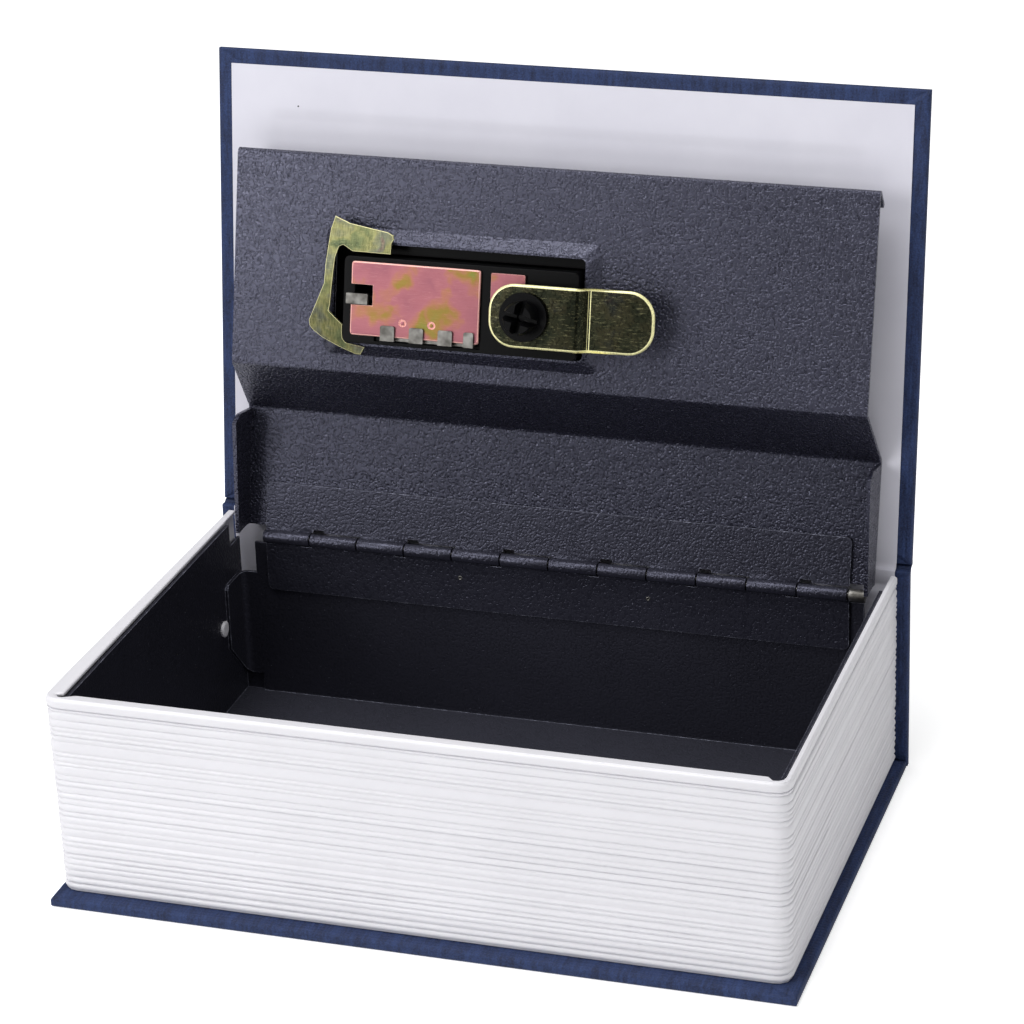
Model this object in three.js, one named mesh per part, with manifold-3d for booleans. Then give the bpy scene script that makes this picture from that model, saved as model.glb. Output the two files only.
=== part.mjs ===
// Book diversion safe: a cloth-bound book case round a moulded page block and a folded steel box.
// Millimetres, +Z up, +X along the hinge, +Y towards the spine, origin under the middle of the case.
// The lid and the cover stand open at rest, each leaning back past upright.
import * as THREE from 'three';
import { mergeVertices } from 'three/addons/utils/BufferGeometryUtils.js';
import Module from 'manifold-3d';

const wasm = await Module();
wasm.setup();

// Case boards and their cloth
const caseWidth = 180;
const caseDepth = 120;
const boardThickness = 2.6;
const boardCornerRadius = 0.8;
const boardEdgeRadius = 0.55;
const jointGap = 1.2;
const clothThickness = 0.6;
const endpaperThickness = 0.25;
const endpaperMargin = 3.6;
const coverLean = 8;
const coverPivotInset = 0.7;
const coverShortfall = 2.1;
const closedCoverClearance = 0.35;

// Moulded page block
const headOverhang = 2.5;
const foreEdgeOverhang = 4;
const spineClearance = 2.2;
const blockHeight = 50.6;
const blockWall = 1.5;
const blockCornerRadius = 5;
const rimThickness = 1;
const rimSideWidth = 1.6;
const rimFrontWidth = 3.1;
const rimReliefWidth = 0.4;
const rimReliefSlope = 1.4;
const pageCount = 25;
const pageDepth = 0.75;
const topRidgeHeight = 2.5;
const stakeRadius = 1.6;
const stakeHoleClearance = 0.15;
const stakeHeadRadius = 2.1;
const stakeHeadHeight = 0.7;
const stakeHeadEase = 0.25;
const stakeFromBackWall = 12.6;
const stakeHeight = 26.2;

// Folded steel box
const boxSheet = 0.8;
const boxClearance = 0.7;
const boxTopClearance = 0.1;
const backWallInset = 1.95;
const sideRearInset = 0.2;
const earDepth = 10.2;
const earTop = 37.2;
const earFrontBottom = 19.5;
const earCorner = 1;
const earBendRadius = 2;
const backWallTop = 45.8;
const backWallNarrowing = 4.8;
const sideNotchDepth = 6.6;
const sideNotchHeight = 6;
const footNotchWidth = 4.9;
const footNotchHeight = 4.9;
const rearFlangeHeight = 9;

// Keeper on the front wall of the box
const keeperSheet = 1;
const keeperWidth = 24;
const keeperReach = 13;
const keeperFlange = 11;
const keeperLip = 5.6;
const keeperClearance = 0.3;

// Piano hinge
const knuckleRadius = 1.65;
const pinRadius = 0.75;
const pinClearance = 0.08;
const knuckleCount = 12;
const hingeInset = 8.3;
const knuckleGap = 0.35;
const leafThickness = 0.75;
const leafCornerRadius = 1.5;
const lidLeafHeight = 14;
const boxLeafHeight = 15.4;
const leafNotchClearance = 0.6;
const hingeBelowRim = 4.6;
const pinHeadLength = 4;
const pinHeadGap = 0.3;

// Bent steel lid
const lidLean = 14;
const lidSheet = 1;
const lidSeatGap = 0.1;
const lidSideGap = 2.5;
const lidFrontGap = 3.2;
const lidUpperTaper = 1;
const lidPanelFoot = 2.5;
const lidStepFoot = 33;
const lidStepTop = 46;
const lidPanelDepth = 13.5;
const lidBendRadius = 1.2;
const hemLength = 7.6;
const hemAngle = 132;
const sideFlangeDepth = 9.7;
const sideFlangeFootDepth = 5;
const sideFlangeFoot = 1;
const sideFlangeEase = 3;

// Pocket pressed into the lid round the lock
const pocketHeight = 3;
const pocketSlope = 3.2;
const pocketLedge = 0.6;
const pocketCornerRadius = 2.5;
const lockHoleWidth = 64.1;
const lockHoleHeight = 24.8;
const lockHoleDrop = 34.9;
const lockHoleShift = -1.35;
const lockHoleCorner = 1;

// Combination lock
const lockFromLidSide = 62;
const housingWidth = 60;
const housingHeight = 21.4;
const housingRearDepth = 19;
const housingDrop = 1.4;
const housingCorner = 1.2;
const housingClearance = 0.15;
const faceplateWidth = 69;
const faceplateHeight = 34;
const faceplateFlange = 1.2;
const faceplateRaise = 2.8;
const faceplateBorder = 3;
const dialCount = 3;
const dialPitch = 7.45;
const firstDialShift = -17.9;
const dialRadius = 5.6;
const dialWidth = 5.5;
const dialGripDepth = 0.4;
const dialDepth = 13.2;
const dialClearance = 0.5;
const dialWindowGap = 0.2;
const digitsPerDial = 10;
const axleRadius = 1.1;
const axleClearance = 0.1;
const axleOverrun = 0.7;
const coverPlateThickness = 0.8;
const coverPlateEase = 0.35;
const coverPlateWidth = 33.2;
const coverPlateHeight = 18.2;
const coverPlateShift = -11.2;
const coverPlateDrop = 0.9;
const cavityMargin = 0.8;
const leverNotchWidth = 5.7;
const leverNotchHeight = 5.1;
const leverNotchRise = 7.5;
const leverGap = 0.2;
const leverTravel = 1.5;
const leverHeight = 2.6;
const leverReach = 5.6;
const leverOverhang = 1.1;
const leverSheet = 1.2;
const leverStemDepth = 2.2;
const fingerWidth = 3.7;
const lastFingerWidth = 2.6;
const lastFingerShift = 3;
const fingerSheet = 0.45;
const fingerReach = 2.9;
const fingerDrop = 0.45;
const lockSeatGap = 0.1;
const ringMarkRadius = 0.95;
const ringMarkWidth = 0.35;
const ringMarkDepth = 0.25;
const ringMarkRise = 3.8;

// Turning latch
const latchShift = 18.1;
const latchDrop = 1.6;
const latchWidth = 15.5;
const latchReach = 31.7;
const latchBack = 9;
const latchTipRadius = 6.4;
const latchSheet = 1.2;
const latchHubDepth = 23.2;
const latchPaddleDepth = 20.2;
const latchJogStart = 12.9;
const latchJogEnd = 14.7;
const latchBendRadius = 0.6;
const spindleRadius = 4;
const spindleClearance = 0.1;
const knobSeatGap = 0.2;
const squareSide = 6.4;
const squareClearance = 0.1;
const knobRadius = 8.5;
const knobPlate = 1.5;
const knobGripHeight = 4.2;
const knobGripWidth = 4.6;
const spindlePlateGap = 2.7;
const spindlePlateWidth = 8.6;
const spindlePlateDrop = 3;
const retainerRadius = 6;
const retainerThickness = 0.9;
const crownRadius = 4.1;
const crownTipRadius = 3.5;
const crownHeight = 4.6;
const crownSlotWidth = 2.7;
const crownSlotFoot = 0.9;
const crownSlotDepth = 3.4;
const crownTurn = 12;
const retainerBore = 1.1;
const pegLength = 1.6;

// Spring clip that holds the lock in its hole
const clipSheet = 0.8;
const clipBow = 1.5;
const clipSeatGap = 0.2;
const clipWidth = 21.2;
const clipHeight = 33.8;
const clipSideReach = 9;
const clipFootReach = 3.1;

// Places worked out from the sizes above
const spineOuter = caseDepth / 2;
const spineInner = spineOuter - boardThickness;
const coverPivotY = spineOuter - coverPivotInset;
const blockBottom = boardThickness;
const blockTop = blockBottom + blockHeight;
const coverPivotZ = blockTop + endpaperThickness + closedCoverClearance;
const spineTop = coverPivotZ - jointGap / 2;
const frontBoardHeight = caseDepth - coverPivotInset - jointGap / 2 - coverShortfall;
const blockHalfWidth = caseWidth / 2 - headOverhang;
const blockFront = -caseDepth / 2 + foreEdgeOverhang;
const blockRear = spineInner - spineClearance;
const boxHalfOuter = blockHalfWidth - blockWall - boxClearance;
const boxHalfInner = boxHalfOuter - boxSheet;
const boxFrontOuter = blockFront + blockWall + boxClearance;
const boxFrontInner = boxFrontOuter + boxSheet;
const boxTop = blockTop - rimThickness - boxTopClearance;
const boxFloor = blockBottom + boxSheet;
const backWallOuter = blockRear - backWallInset + boxSheet;
const backWallInner = backWallOuter - boxSheet;
const earInner = boxHalfInner - boxSheet;
const stakeY = backWallInner - stakeFromBackWall;
const hingeLength = 2 * (boxHalfInner - hingeInset);
const hingeY = backWallInner - knuckleRadius - lidSeatGap;
const hingeZ = blockTop - hingeBelowRim;
const lidWidth = 2 * (boxHalfInner - lidSideGap);
const lidHeight = hingeY - boxFrontInner - lidFrontGap;
const lidPlateDepth = -knuckleRadius - lidSeatGap;
const lidOuterDepth = lidPanelDepth - lidSheet;
const pocketTopDepth = lidPanelDepth + pocketHeight;
const housingMidX = lockFromLidSide - lidWidth / 2;
const lockHoleX = housingMidX + lockHoleShift;
const lockHoleRise = lidHeight - lockHoleDrop;
const lockMidRise = lockHoleRise - housingDrop;
const firstDialX = housingMidX + firstDialShift;
const faceDepth = lidOuterDepth - lockSeatGap - faceplateFlange;
const faceplateFront = faceDepth - faceplateRaise;
const plateLeft = housingMidX + coverPlateShift - coverPlateWidth / 2;
const plateRight = plateLeft + coverPlateWidth;
const plateBottom = lockHoleRise - coverPlateDrop - coverPlateHeight / 2;
const plateTop = plateBottom + coverPlateHeight;
const plateRear = housingRearDepth + lockSeatGap;
const plateFace = plateRear + coverPlateThickness;
const latchX = housingMidX + latchShift;
const latchRise = lockHoleRise - latchDrop;
const clipDepth = pocketTopDepth + clipSeatGap;
const closedLidUnderside = hingeZ - lidPanelDepth;
const farDepth = latchHubDepth + latchReach;

// Surfaces, each with its own colour
const cloth = new THREE.MeshStandardMaterial({ color: 0x24375c, roughness: 0.85, metalness: 0 });
const jointCloth = new THREE.MeshStandardMaterial({ color: 0x1f3052, roughness: 0.9, metalness: 0 });
const paper = new THREE.MeshStandardMaterial({ color: 0xd9d8e6, roughness: 0.7, metalness: 0 });
const pagePlastic = new THREE.MeshStandardMaterial({ color: 0xf1f1f4, roughness: 0.3, metalness: 0 });
const boxPaint = new THREE.MeshStandardMaterial({ color: 0x26272d, roughness: 0.6, metalness: 0.2 });
const lidPaint = new THREE.MeshStandardMaterial({ color: 0x3b3c48, roughness: 0.5, metalness: 0.2 });
const hingePaint = new THREE.MeshStandardMaterial({ color: 0x34353f, roughness: 0.5, metalness: 0.3 });
const bareSteel = new THREE.MeshStandardMaterial({ color: 0x8d8f9a, roughness: 0.35, metalness: 1 });
const blackPlastic = new THREE.MeshStandardMaterial({ color: 0x17171a, roughness: 0.45, metalness: 0 });
const pinkZinc = new THREE.MeshStandardMaterial({ color: 0xd58f86, roughness: 0.3, metalness: 1 });
const yellowZinc = new THREE.MeshStandardMaterial({ color: 0xc9c47a, roughness: 0.3, metalness: 1 });
const springSteel = new THREE.MeshStandardMaterial({ color: 0xc9c9cf, roughness: 0.3, metalness: 1 });

// Turns a closed geometry into a solid that can be joined and cut
function solidFrom(geometry) {
  const bare = geometry.index ? geometry.toNonIndexed() : geometry.clone();
  bare.deleteAttribute('normal');
  bare.deleteAttribute('uv');
  const merged = mergeVertices(bare, 1e-4);
  const vertProperties = new Float32Array(merged.attributes.position.array);
  const triVerts = new Uint32Array(merged.index.array);
  return new wasm.Manifold(new wasm.Mesh({ numProp: 3, vertProperties, triVerts }));
}

// Turns a solid back into a named mesh
function meshFrom(name, solid, material) {
  const cut = solid.getMesh();
  const corners = new Float32Array(cut.vertProperties);
  const geometry = new THREE.BufferGeometry();
  geometry.setAttribute('position', new THREE.BufferAttribute(corners, 3));
  geometry.setIndex(new THREE.BufferAttribute(new Uint32Array(cut.triVerts), 1));
  geometry.computeVertexNormals();
  const mesh = new THREE.Mesh(geometry, material);
  mesh.name = name;
  return mesh;
}

function extruded(shape, length, curveSegments) {
  return new THREE.ExtrudeGeometry(shape, { depth: length, bevelEnabled: false, curveSegments });
}

// Prism of an outline in y and z, between two places on x
function prismAlongX(shape, xStart, xEnd, curveSegments = 6) {
  const geometry = extruded(shape, xEnd - xStart, curveSegments);
  const turn = new THREE.Matrix4().makeBasis(
    new THREE.Vector3(0, 1, 0), new THREE.Vector3(0, 0, 1), new THREE.Vector3(1, 0, 0));
  geometry.applyMatrix4(turn);
  geometry.translate(xStart, 0, 0);
  return solidFrom(geometry);
}

// Prism of an outline in x and z, between two depths measured towards the front, along -y
function prismInDepth(shape, depthStart, depthEnd, curveSegments = 6) {
  const geometry = extruded(shape, depthEnd - depthStart, curveSegments);
  const turn = new THREE.Matrix4().makeBasis(
    new THREE.Vector3(1, 0, 0), new THREE.Vector3(0, 0, 1), new THREE.Vector3(0, -1, 0));
  geometry.applyMatrix4(turn);
  geometry.translate(0, -depthStart, 0);
  return solidFrom(geometry);
}

// Prism of an outline in x and y, between two heights
function prismAlongZ(shape, zStart, zEnd, curveSegments = 6) {
  const geometry = extruded(shape, zEnd - zStart, curveSegments);
  geometry.translate(0, 0, zStart);
  return solidFrom(geometry);
}

function outline(points) {
  return new THREE.Shape(points.map(([a, b]) => new THREE.Vector2(a, b)));
}

function rectangle(a0, b0, a1, b1) {
  return outline([[a0, b0], [a1, b0], [a1, b1], [a0, b1]]);
}

function circle(a, b, radius) {
  const shape = new THREE.Shape();
  shape.absarc(a, b, radius, 0, 2 * Math.PI, false);
  return shape;
}

// Corner points of a rectangle with round corners, anticlockwise
function roundedPoints(a0, b0, a1, b1, radius, steps = 3) {
  const centres = [[a1 - radius, b0 + radius], [a1 - radius, b1 - radius],
    [a0 + radius, b1 - radius], [a0 + radius, b0 + radius]];
  const points = [];
  centres.forEach(([a, b], corner) => {
    for (let step = 0; step <= steps; step += 1) {
      const angle = (corner - 1 + step / steps) * Math.PI / 2;
      points.push([a + radius * Math.cos(angle), b + radius * Math.sin(angle)]);
    }
  });
  return points;
}

function roundedRectangle(a0, b0, a1, b1, radius, steps = 3) {
  return outline(roundedPoints(a0, b0, a1, b1, radius, steps));
}

// Rectangle given by its middle and its size
function centredRectangle(a, b, width, height) {
  return rectangle(a - width / 2, b - height / 2, a + width / 2, b + height / 2);
}

// Replaces each inner corner of a line by an arc
function roundedLine(points, radius, steps = 3) {
  const result = [new THREE.Vector2(...points[0])];
  for (let i = 1; i < points.length - 1; i += 1) {
    const corner = new THREE.Vector2(...points[i]);
    const back = new THREE.Vector2(...points[i - 1]).sub(corner).normalize();
    const ahead = new THREE.Vector2(...points[i + 1]).sub(corner).normalize();
    const half = Math.acos(THREE.MathUtils.clamp(back.dot(ahead), -1, 1)) / 2;
    const run = radius / Math.tan(half);
    const start = corner.clone().addScaledVector(back, run);
    const end = corner.clone().addScaledVector(ahead, run);
    const middle = back.clone().add(ahead).normalize();
    const centre = corner.clone().addScaledVector(middle, radius / Math.sin(half));
    const startAngle = start.clone().sub(centre).angle();
    let sweep = end.clone().sub(centre).angle() - startAngle;
    sweep -= 2 * Math.PI * Math.round(sweep / (2 * Math.PI));
    for (let step = 0; step <= steps; step += 1) {
      const angle = startAngle + sweep * step / steps;
      const a = centre.x + radius * Math.cos(angle);
      const b = centre.y + radius * Math.sin(angle);
      result.push(new THREE.Vector2(a, b));
    }
  }
  result.push(new THREE.Vector2(...points[points.length - 1]));
  return result;
}

// Section of a bent sheet: a line, and the same line set off by the sheet's thickness to its right
function bentSheet(points, radius, thickness, steps = 3) {
  const bare = points.map((point) => new THREE.Vector2(...point));
  const line = radius > 0 ? roundedLine(points, radius, steps) : bare;
  const offset = line.map((point, i) => {
    const before = line[Math.max(i - 1, 0)];
    const after = line[Math.min(i + 1, line.length - 1)];
    const along = point === before ? after.clone().sub(point) : point.clone().sub(before);
    const next = point === after ? point.clone().sub(before) : after.clone().sub(point);
    const rightA = new THREE.Vector2(along.y, -along.x).normalize();
    const rightB = new THREE.Vector2(next.y, -next.x).normalize();
    const mitre = rightA.clone().add(rightB).normalize();
    return point.clone().addScaledVector(mitre, thickness / mitre.dot(rightA));
  });
  return new THREE.Shape([...line, ...offset.reverse()]);
}

// Closed solid between outlines of the same number of points, listed from one end to the other
function loft(sections) {
  const count = sections[0].length;
  const positions = sections.flat(2);
  const index = [];
  for (let s = 0; s < sections.length - 1; s += 1) {
    for (let i = 0; i < count; i += 1) {
      const a = s * count + i;
      const b = s * count + (i + 1) % count;
      index.push(a, b, b + count, a, b + count, a + count);
    }
  }
  const flat = sections.map((section) => flattened(section));
  const first = THREE.ShapeUtils.triangulateShape(flat[0], []);
  const last = THREE.ShapeUtils.triangulateShape(flat[flat.length - 1], []);
  const lastStart = (sections.length - 1) * count;
  first.forEach(([a, b, c]) => index.push(a, c, b));
  last.forEach(([a, b, c]) => index.push(lastStart + a, lastStart + b, lastStart + c));
  const geometry = new THREE.BufferGeometry();
  geometry.setAttribute('position', new THREE.Float32BufferAttribute(positions, 3));
  geometry.setIndex(enclosedVolume(positions, index) > 0 ? index : index.reverse());
  return solidFrom(geometry);
}

// Volume inside a closed set of triangles, negative where they face inwards
function enclosedVolume(positions, index) {
  const vertex = (i) => new THREE.Vector3().fromArray(positions, 3 * i);
  let volume = 0;
  for (let i = 0; i < index.length; i += 3) {
    const across = vertex(index[i + 1]).cross(vertex(index[i + 2]));
    volume += vertex(index[i]).dot(across) / 6;
  }
  return volume;
}

// The same outline seen square on, with its points going anticlockwise
function flattened(section) {
  const points = section.map((point) => new THREE.Vector3(...point));
  const normal = new THREE.Vector3();
  points.forEach((point, i) => normal.add(point.clone().cross(points[(i + 1) % points.length])));
  normal.normalize();
  const across = points[1].clone().sub(points[0]).normalize();
  const up = normal.clone().cross(across);
  return points.map((point) => new THREE.Vector2(point.dot(across), point.dot(up)));
}

// Board wrapped in cloth, with its edges and corners eased
function wrappedBoard(name, width, height, thickness) {
  const shape = roundedRectangle(-width / 2, 0, width / 2, height, boardCornerRadius);
  const geometry = new THREE.ExtrudeGeometry(shape, {
    depth: thickness - 2 * boardEdgeRadius,
    bevelEnabled: true,
    bevelThickness: boardEdgeRadius,
    bevelSize: boardEdgeRadius,
    bevelOffset: -boardEdgeRadius,
    bevelSegments: 2,
    curveSegments: 3,
  });
  geometry.translate(0, 0, boardEdgeRadius);
  return meshFrom(name, solidFrom(geometry), cloth);
}

function backBoard() {
  const depth = caseDepth - boardThickness - jointGap;
  const board = wrappedBoard('back_board', caseWidth, depth, boardThickness);
  board.position.y = -caseDepth / 2;
  return board;
}

function spineBoard() {
  const board = wrappedBoard('spine_board', caseWidth, spineTop, boardThickness);
  board.rotation.x = Math.PI / 2;
  board.position.y = spineOuter;
  return board;
}

// Cloth that joins the spine to the back board, flush with the underside
function backJointCloth() {
  const section = rectangle(spineInner - jointGap, 0, spineInner, clothThickness);
  const strip = prismAlongX(section, -caseWidth / 2, caseWidth / 2);
  return meshFrom('back_joint_cloth', strip, jointCloth);
}

// Cloth that bends between the spine and the front board
function frontJointCloth() {
  const lean = THREE.MathUtils.degToRad(coverLean);
  const rise = jointGap / 4;
  const place = (out) => [coverPivotY + out * Math.cos(lean) + rise * Math.sin(lean),
    coverPivotZ + rise * Math.cos(lean) - out * Math.sin(lean)];
  const section = outline([[spineOuter - clothThickness, spineTop], [spineOuter, spineTop],
    place(boardThickness), place(boardThickness - clothThickness)]);
  const strip = prismAlongX(section, -caseWidth / 2, caseWidth / 2);
  return meshFrom('front_joint_cloth', strip, jointCloth);
}

// Paper up the inside of the spine and over its top edge to the joint
function spineEndpaper() {
  const half = caseWidth / 2 - endpaperMargin;
  const lift = endpaperThickness / 10;
  const section = bentSheet([[coverPivotY - 2 * endpaperThickness, spineTop + lift],
    [spineInner, spineTop + lift], [spineInner, blockBottom + clothThickness]], 0, endpaperThickness);
  return meshFrom('spine_endpaper', prismAlongX(section, -half, half), paper);
}

// Height and outward swell of the page edges, one rounded leaf after another
function pageProfile() {
  const points = [];
  const weights = [];
  for (let page = 0; page < pageCount; page += 1) {
    weights.push(1 + 0.55 * Math.sin(2.4 * page) + 0.35 * Math.sin(5.1 * page + 1));
  }
  const total = weights.reduce((sum, weight) => sum + weight, 0);
  const pagesHeight = blockHeight - topRidgeHeight;
  let z = blockBottom;
  weights.forEach((weight, page) => {
    const height = pagesHeight * weight / total;
    const swell = pageDepth * (0.55 + 0.45 * Math.abs(Math.sin(1.7 * page + 0.6)));
    points.push([-pageDepth, z + 0.04 * height]);
    points.push([swell * 0.86 - pageDepth, z + 0.28 * height]);
    points.push([swell - pageDepth, z + 0.55 * height]);
    points.push([swell * 0.86 - pageDepth, z + 0.8 * height]);
    z += height;
  });
  points[0][1] = blockBottom;
  points.push([-pageDepth, z]);
  points.push([-0.15 * pageDepth, z + 0.12 * topRidgeHeight]);
  points.push([0, z + 0.3 * topRidgeHeight]);
  points.push([0, z + 0.75 * topRidgeHeight]);
  points.push([-0.3 * pageDepth, blockTop]);
  return points;
}

// Places along the U of the block's three walls, each with its outward direction
function blockStations() {
  const cornerX = blockHalfWidth - blockCornerRadius;
  const cornerY = blockFront + blockCornerRadius;
  const radius = blockCornerRadius;
  const stations = [{ x: -blockHalfWidth, y: blockRear, radius: 0, nx: -1, ny: 0 }];
  const steps = 5;
  [[-cornerX, 1], [cornerX, 1.5]].forEach(([x, startTurn]) => {
    for (let step = 0; step <= steps; step += 1) {
      const angle = (startTurn + 0.5 * step / steps) * Math.PI;
      stations.push({ x, y: cornerY, radius, nx: Math.cos(angle), ny: Math.sin(angle) });
    }
  });
  stations.push({ x: blockHalfWidth, y: blockRear, radius: 0, nx: 1, ny: 0 });
  return stations;
}

// Flat rim on top of the block, over the gap beside the steel box
function blockRim() {
  const edge = blockHalfWidth - pageDepth;
  const cornerX = blockHalfWidth - blockCornerRadius;
  const cornerY = blockFront + blockCornerRadius;
  const outerRadius = blockCornerRadius - pageDepth;
  const innerRadius = blockCornerRadius - rimSideWidth;
  const inner = blockHalfWidth - rimSideWidth;
  const front = blockFront + rimFrontWidth;
  const relief = blockFront + rimSideWidth;
  const shape = new THREE.Shape();
  shape.moveTo(-edge, blockRear);
  shape.lineTo(-edge, cornerY);
  shape.absarc(-cornerX, cornerY, outerRadius, Math.PI, 1.5 * Math.PI, false);
  shape.lineTo(cornerX, blockFront + pageDepth);
  shape.absarc(cornerX, cornerY, outerRadius, 1.5 * Math.PI, 2 * Math.PI, false);
  shape.lineTo(edge, blockRear);
  shape.lineTo(inner, blockRear);
  shape.lineTo(inner, cornerY);
  shape.absarc(cornerX, cornerY, innerRadius, 0, -0.5 * Math.PI, true);
  const reliefEnd = inner - innerRadius - rimReliefWidth;
  [[reliefEnd, relief], [reliefEnd - rimReliefSlope, front], [rimReliefSlope - reliefEnd, front],
    [-reliefEnd, relief]].forEach(([x, y]) => shape.lineTo(x, y));
  shape.lineTo(-cornerX, relief);
  shape.absarc(-cornerX, cornerY, innerRadius, 1.5 * Math.PI, Math.PI, true);
  shape.lineTo(-inner, blockRear);
  return prismAlongZ(shape, blockTop - rimThickness, blockTop, 5);
}

// Stake on the inside of a side wall, melted into a flat head over the steel
function blockStake(side) {
  const wall = side * (blockHalfWidth - blockWall / 2);
  const seat = side * (boxHalfInner - boxSheet / 16);
  const buried = seat - side * stakeHeadHeight / 2;
  const shank = prismAlongX(circle(stakeY, stakeHeight, stakeRadius),
    Math.min(wall, buried), Math.max(wall, buried), 8);
  const ring = (x, radius) => {
    const points = [];
    for (let step = 0; step < 16; step += 1) {
      const angle = step * Math.PI / 8;
      points.push([x, stakeY + radius * Math.cos(angle), stakeHeight + radius * Math.sin(angle)]);
    }
    return points;
  };
  const face = seat - side * stakeHeadHeight;
  const rings = [ring(seat, stakeHeadRadius), ring(face + side * stakeHeadEase, stakeHeadRadius),
    ring(face, stakeHeadRadius - stakeHeadEase)];
  return shank.add(loft(rings));
}

function pageBlock() {
  const profile = pageProfile();
  const wallPoints = [...profile, [-blockWall, blockTop], [-blockWall, blockBottom]];
  const sections = blockStations().map(({ x, y, radius, nx, ny }) => wallPoints.map(([out, z]) => (
    [x + (radius + out) * nx, y + (radius + out) * ny, z])));
  const wall = loft(sections);
  const solid = wall.add(blockRim()).add(blockStake(-1)).add(blockStake(1));
  return meshFrom('page_block', solid, pagePlastic);
}

// Outline of the box in plan, round at the two front corners
function boxPlan(half, front, rear, radius) {
  const points = [[half, rear], [-half, rear]];
  const steps = 4;
  [[-half + radius, 1], [half - radius, 1.5]].forEach(([x, startTurn]) => {
    for (let step = 0; step <= steps; step += 1) {
      const angle = (startTurn + 0.5 * step / steps) * Math.PI;
      points.push([x + radius * Math.cos(angle), front + radius + radius * Math.sin(angle)]);
    }
  });
  return outline(points);
}

// Ear of the back wall, folded forward with a round bend and welded inside a side wall
function boxEar(side) {
  const front = backWallInner - earDepth;
  const inward = earInner - backWallNarrowing;
  const bend = [[side * inward, backWallInner], [side * earInner, backWallInner], [side * earInner, front]];
  const plan = bentSheet(side < 0 ? bend : bend.reverse(), earBendRadius, boxSheet, 4);
  const foot = boxFloor + footNotchHeight;
  const shape = outline([[backWallOuter, foot], [backWallOuter, earTop], [front + earCorner, earTop],
    [front, earTop - earCorner], [front, earFrontBottom], [backWallInner, foot]]);
  const cut = prismAlongX(shape, -caseWidth, caseWidth);
  return prismAlongZ(plan, boxFloor, earTop).intersect(cut);
}

// Back wall between the ears, narrower above them and notched at its feet
function boxBackWall() {
  const half = earInner - earBendRadius;
  const upper = boxHalfInner - backWallNarrowing;
  const foot = boxHalfInner - footNotchWidth;
  const notchTop = boxFloor + footNotchHeight;
  const right = [[foot, blockBottom], [foot, notchTop], [half, notchTop], [half, earTop],
    [upper, earTop], [upper, backWallTop]];
  const left = right.map(([x, z]) => [-x, z]).reverse();
  return prismInDepth(outline([...right, ...left]), -backWallOuter, -backWallInner);
}

function steelBox() {
  const outerRadius = blockCornerRadius - blockWall - boxClearance;
  const sideRear = blockRear - sideRearInset;
  const tail = backWallOuter + boxSheet;
  const outside = prismAlongZ(boxPlan(boxHalfOuter, boxFrontOuter, sideRear, outerRadius),
    blockBottom, boxTop);
  const inside = prismAlongZ(boxPlan(boxHalfInner, boxFrontInner, caseDepth, outerRadius - boxSheet),
    boxFloor, blockTop);
  const notch = prismAlongX(rectangle(sideRear - sideNotchDepth, boxTop - sideNotchHeight,
    caseDepth, blockTop), -caseWidth, caseWidth);
  const floorTail = prismAlongX(rectangle(backWallInner - boxSheet, blockBottom, tail, boxFloor),
    -boxHalfInner, boxHalfInner);
  const floorFlange = prismAlongX(rectangle(backWallOuter, blockBottom, tail, rearFlangeHeight),
    -boxHalfInner, boxHalfInner);
  const stakeHole = prismAlongX(circle(stakeY, stakeHeight, stakeRadius + stakeHoleClearance),
    -caseWidth, caseWidth, 8);
  const solid = outside.subtract(inside).subtract(notch).add(floorTail).add(floorFlange)
    .add(boxBackWall()).add(boxEar(-1)).add(boxEar(1)).subtract(stakeHole);
  return meshFrom('steel_box', solid, boxPaint);
}

// Angle with a turned-down lip, welded inside the front wall; the locked latch passes under its lip
function keeperBracket() {
  const top = closedLidUnderside - keeperClearance;
  const tip = boxFrontInner + keeperReach;
  const section = bentSheet([[boxFrontInner, top - keeperFlange], [boxFrontInner, top], [tip, top],
    [tip, top - keeperLip]], 0, keeperSheet);
  const angle = prismAlongX(section, latchX - keeperWidth / 2, latchX + keeperWidth / 2);
  return meshFrom('keeper_bracket', angle, hingePaint);
}

// One leaf of the piano hinge with every second knuckle, drawn rising from the pin
function hingeLeaf(name, height, firstKnuckle) {
  const pitch = hingeLength / knuckleCount;
  const back = knuckleRadius;
  const front = knuckleRadius - leafThickness;
  const notchTop = knuckleRadius + leafNotchClearance;
  const half = hingeLength / 2;
  const plate = roundedRectangle(-half, -height, half, height, leafCornerRadius);
  const above = prismInDepth(rectangle(-half, notchTop, half, height), -back, -front);
  let leaf = prismInDepth(plate, -back, -front).intersect(above);
  const bore = prismAlongX(circle(0, 0, pinRadius + pinClearance), -caseWidth, caseWidth, 6);
  for (let knuckle = firstKnuckle; knuckle < knuckleCount; knuckle += 2) {
    const start = -half + knuckle * pitch + knuckleGap / 2;
    const end = start + pitch - knuckleGap;
    const barrel = prismAlongX(circle(0, 0, knuckleRadius), start, end, 10);
    const tail = prismAlongX(rectangle(front, 0, back, notchTop + leafThickness), start, end);
    leaf = leaf.add(barrel).add(tail);
  }
  return meshFrom(name, leaf.subtract(bore), hingePaint);
}

// Wire through the knuckles with a thick upset end
function hingePin() {
  const half = hingeLength / 2;
  const headStart = half + pinHeadGap;
  const headRadius = knuckleRadius - pinClearance;
  const shaft = prismAlongX(circle(0, 0, pinRadius), -half, headStart + pinHeadLength / 2, 6);
  const head = prismAlongX(circle(0, 0, headRadius), headStart, headStart + pinHeadLength, 8);
  return meshFrom('hinge_pin', shaft.add(head), bareSteel);
}

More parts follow.
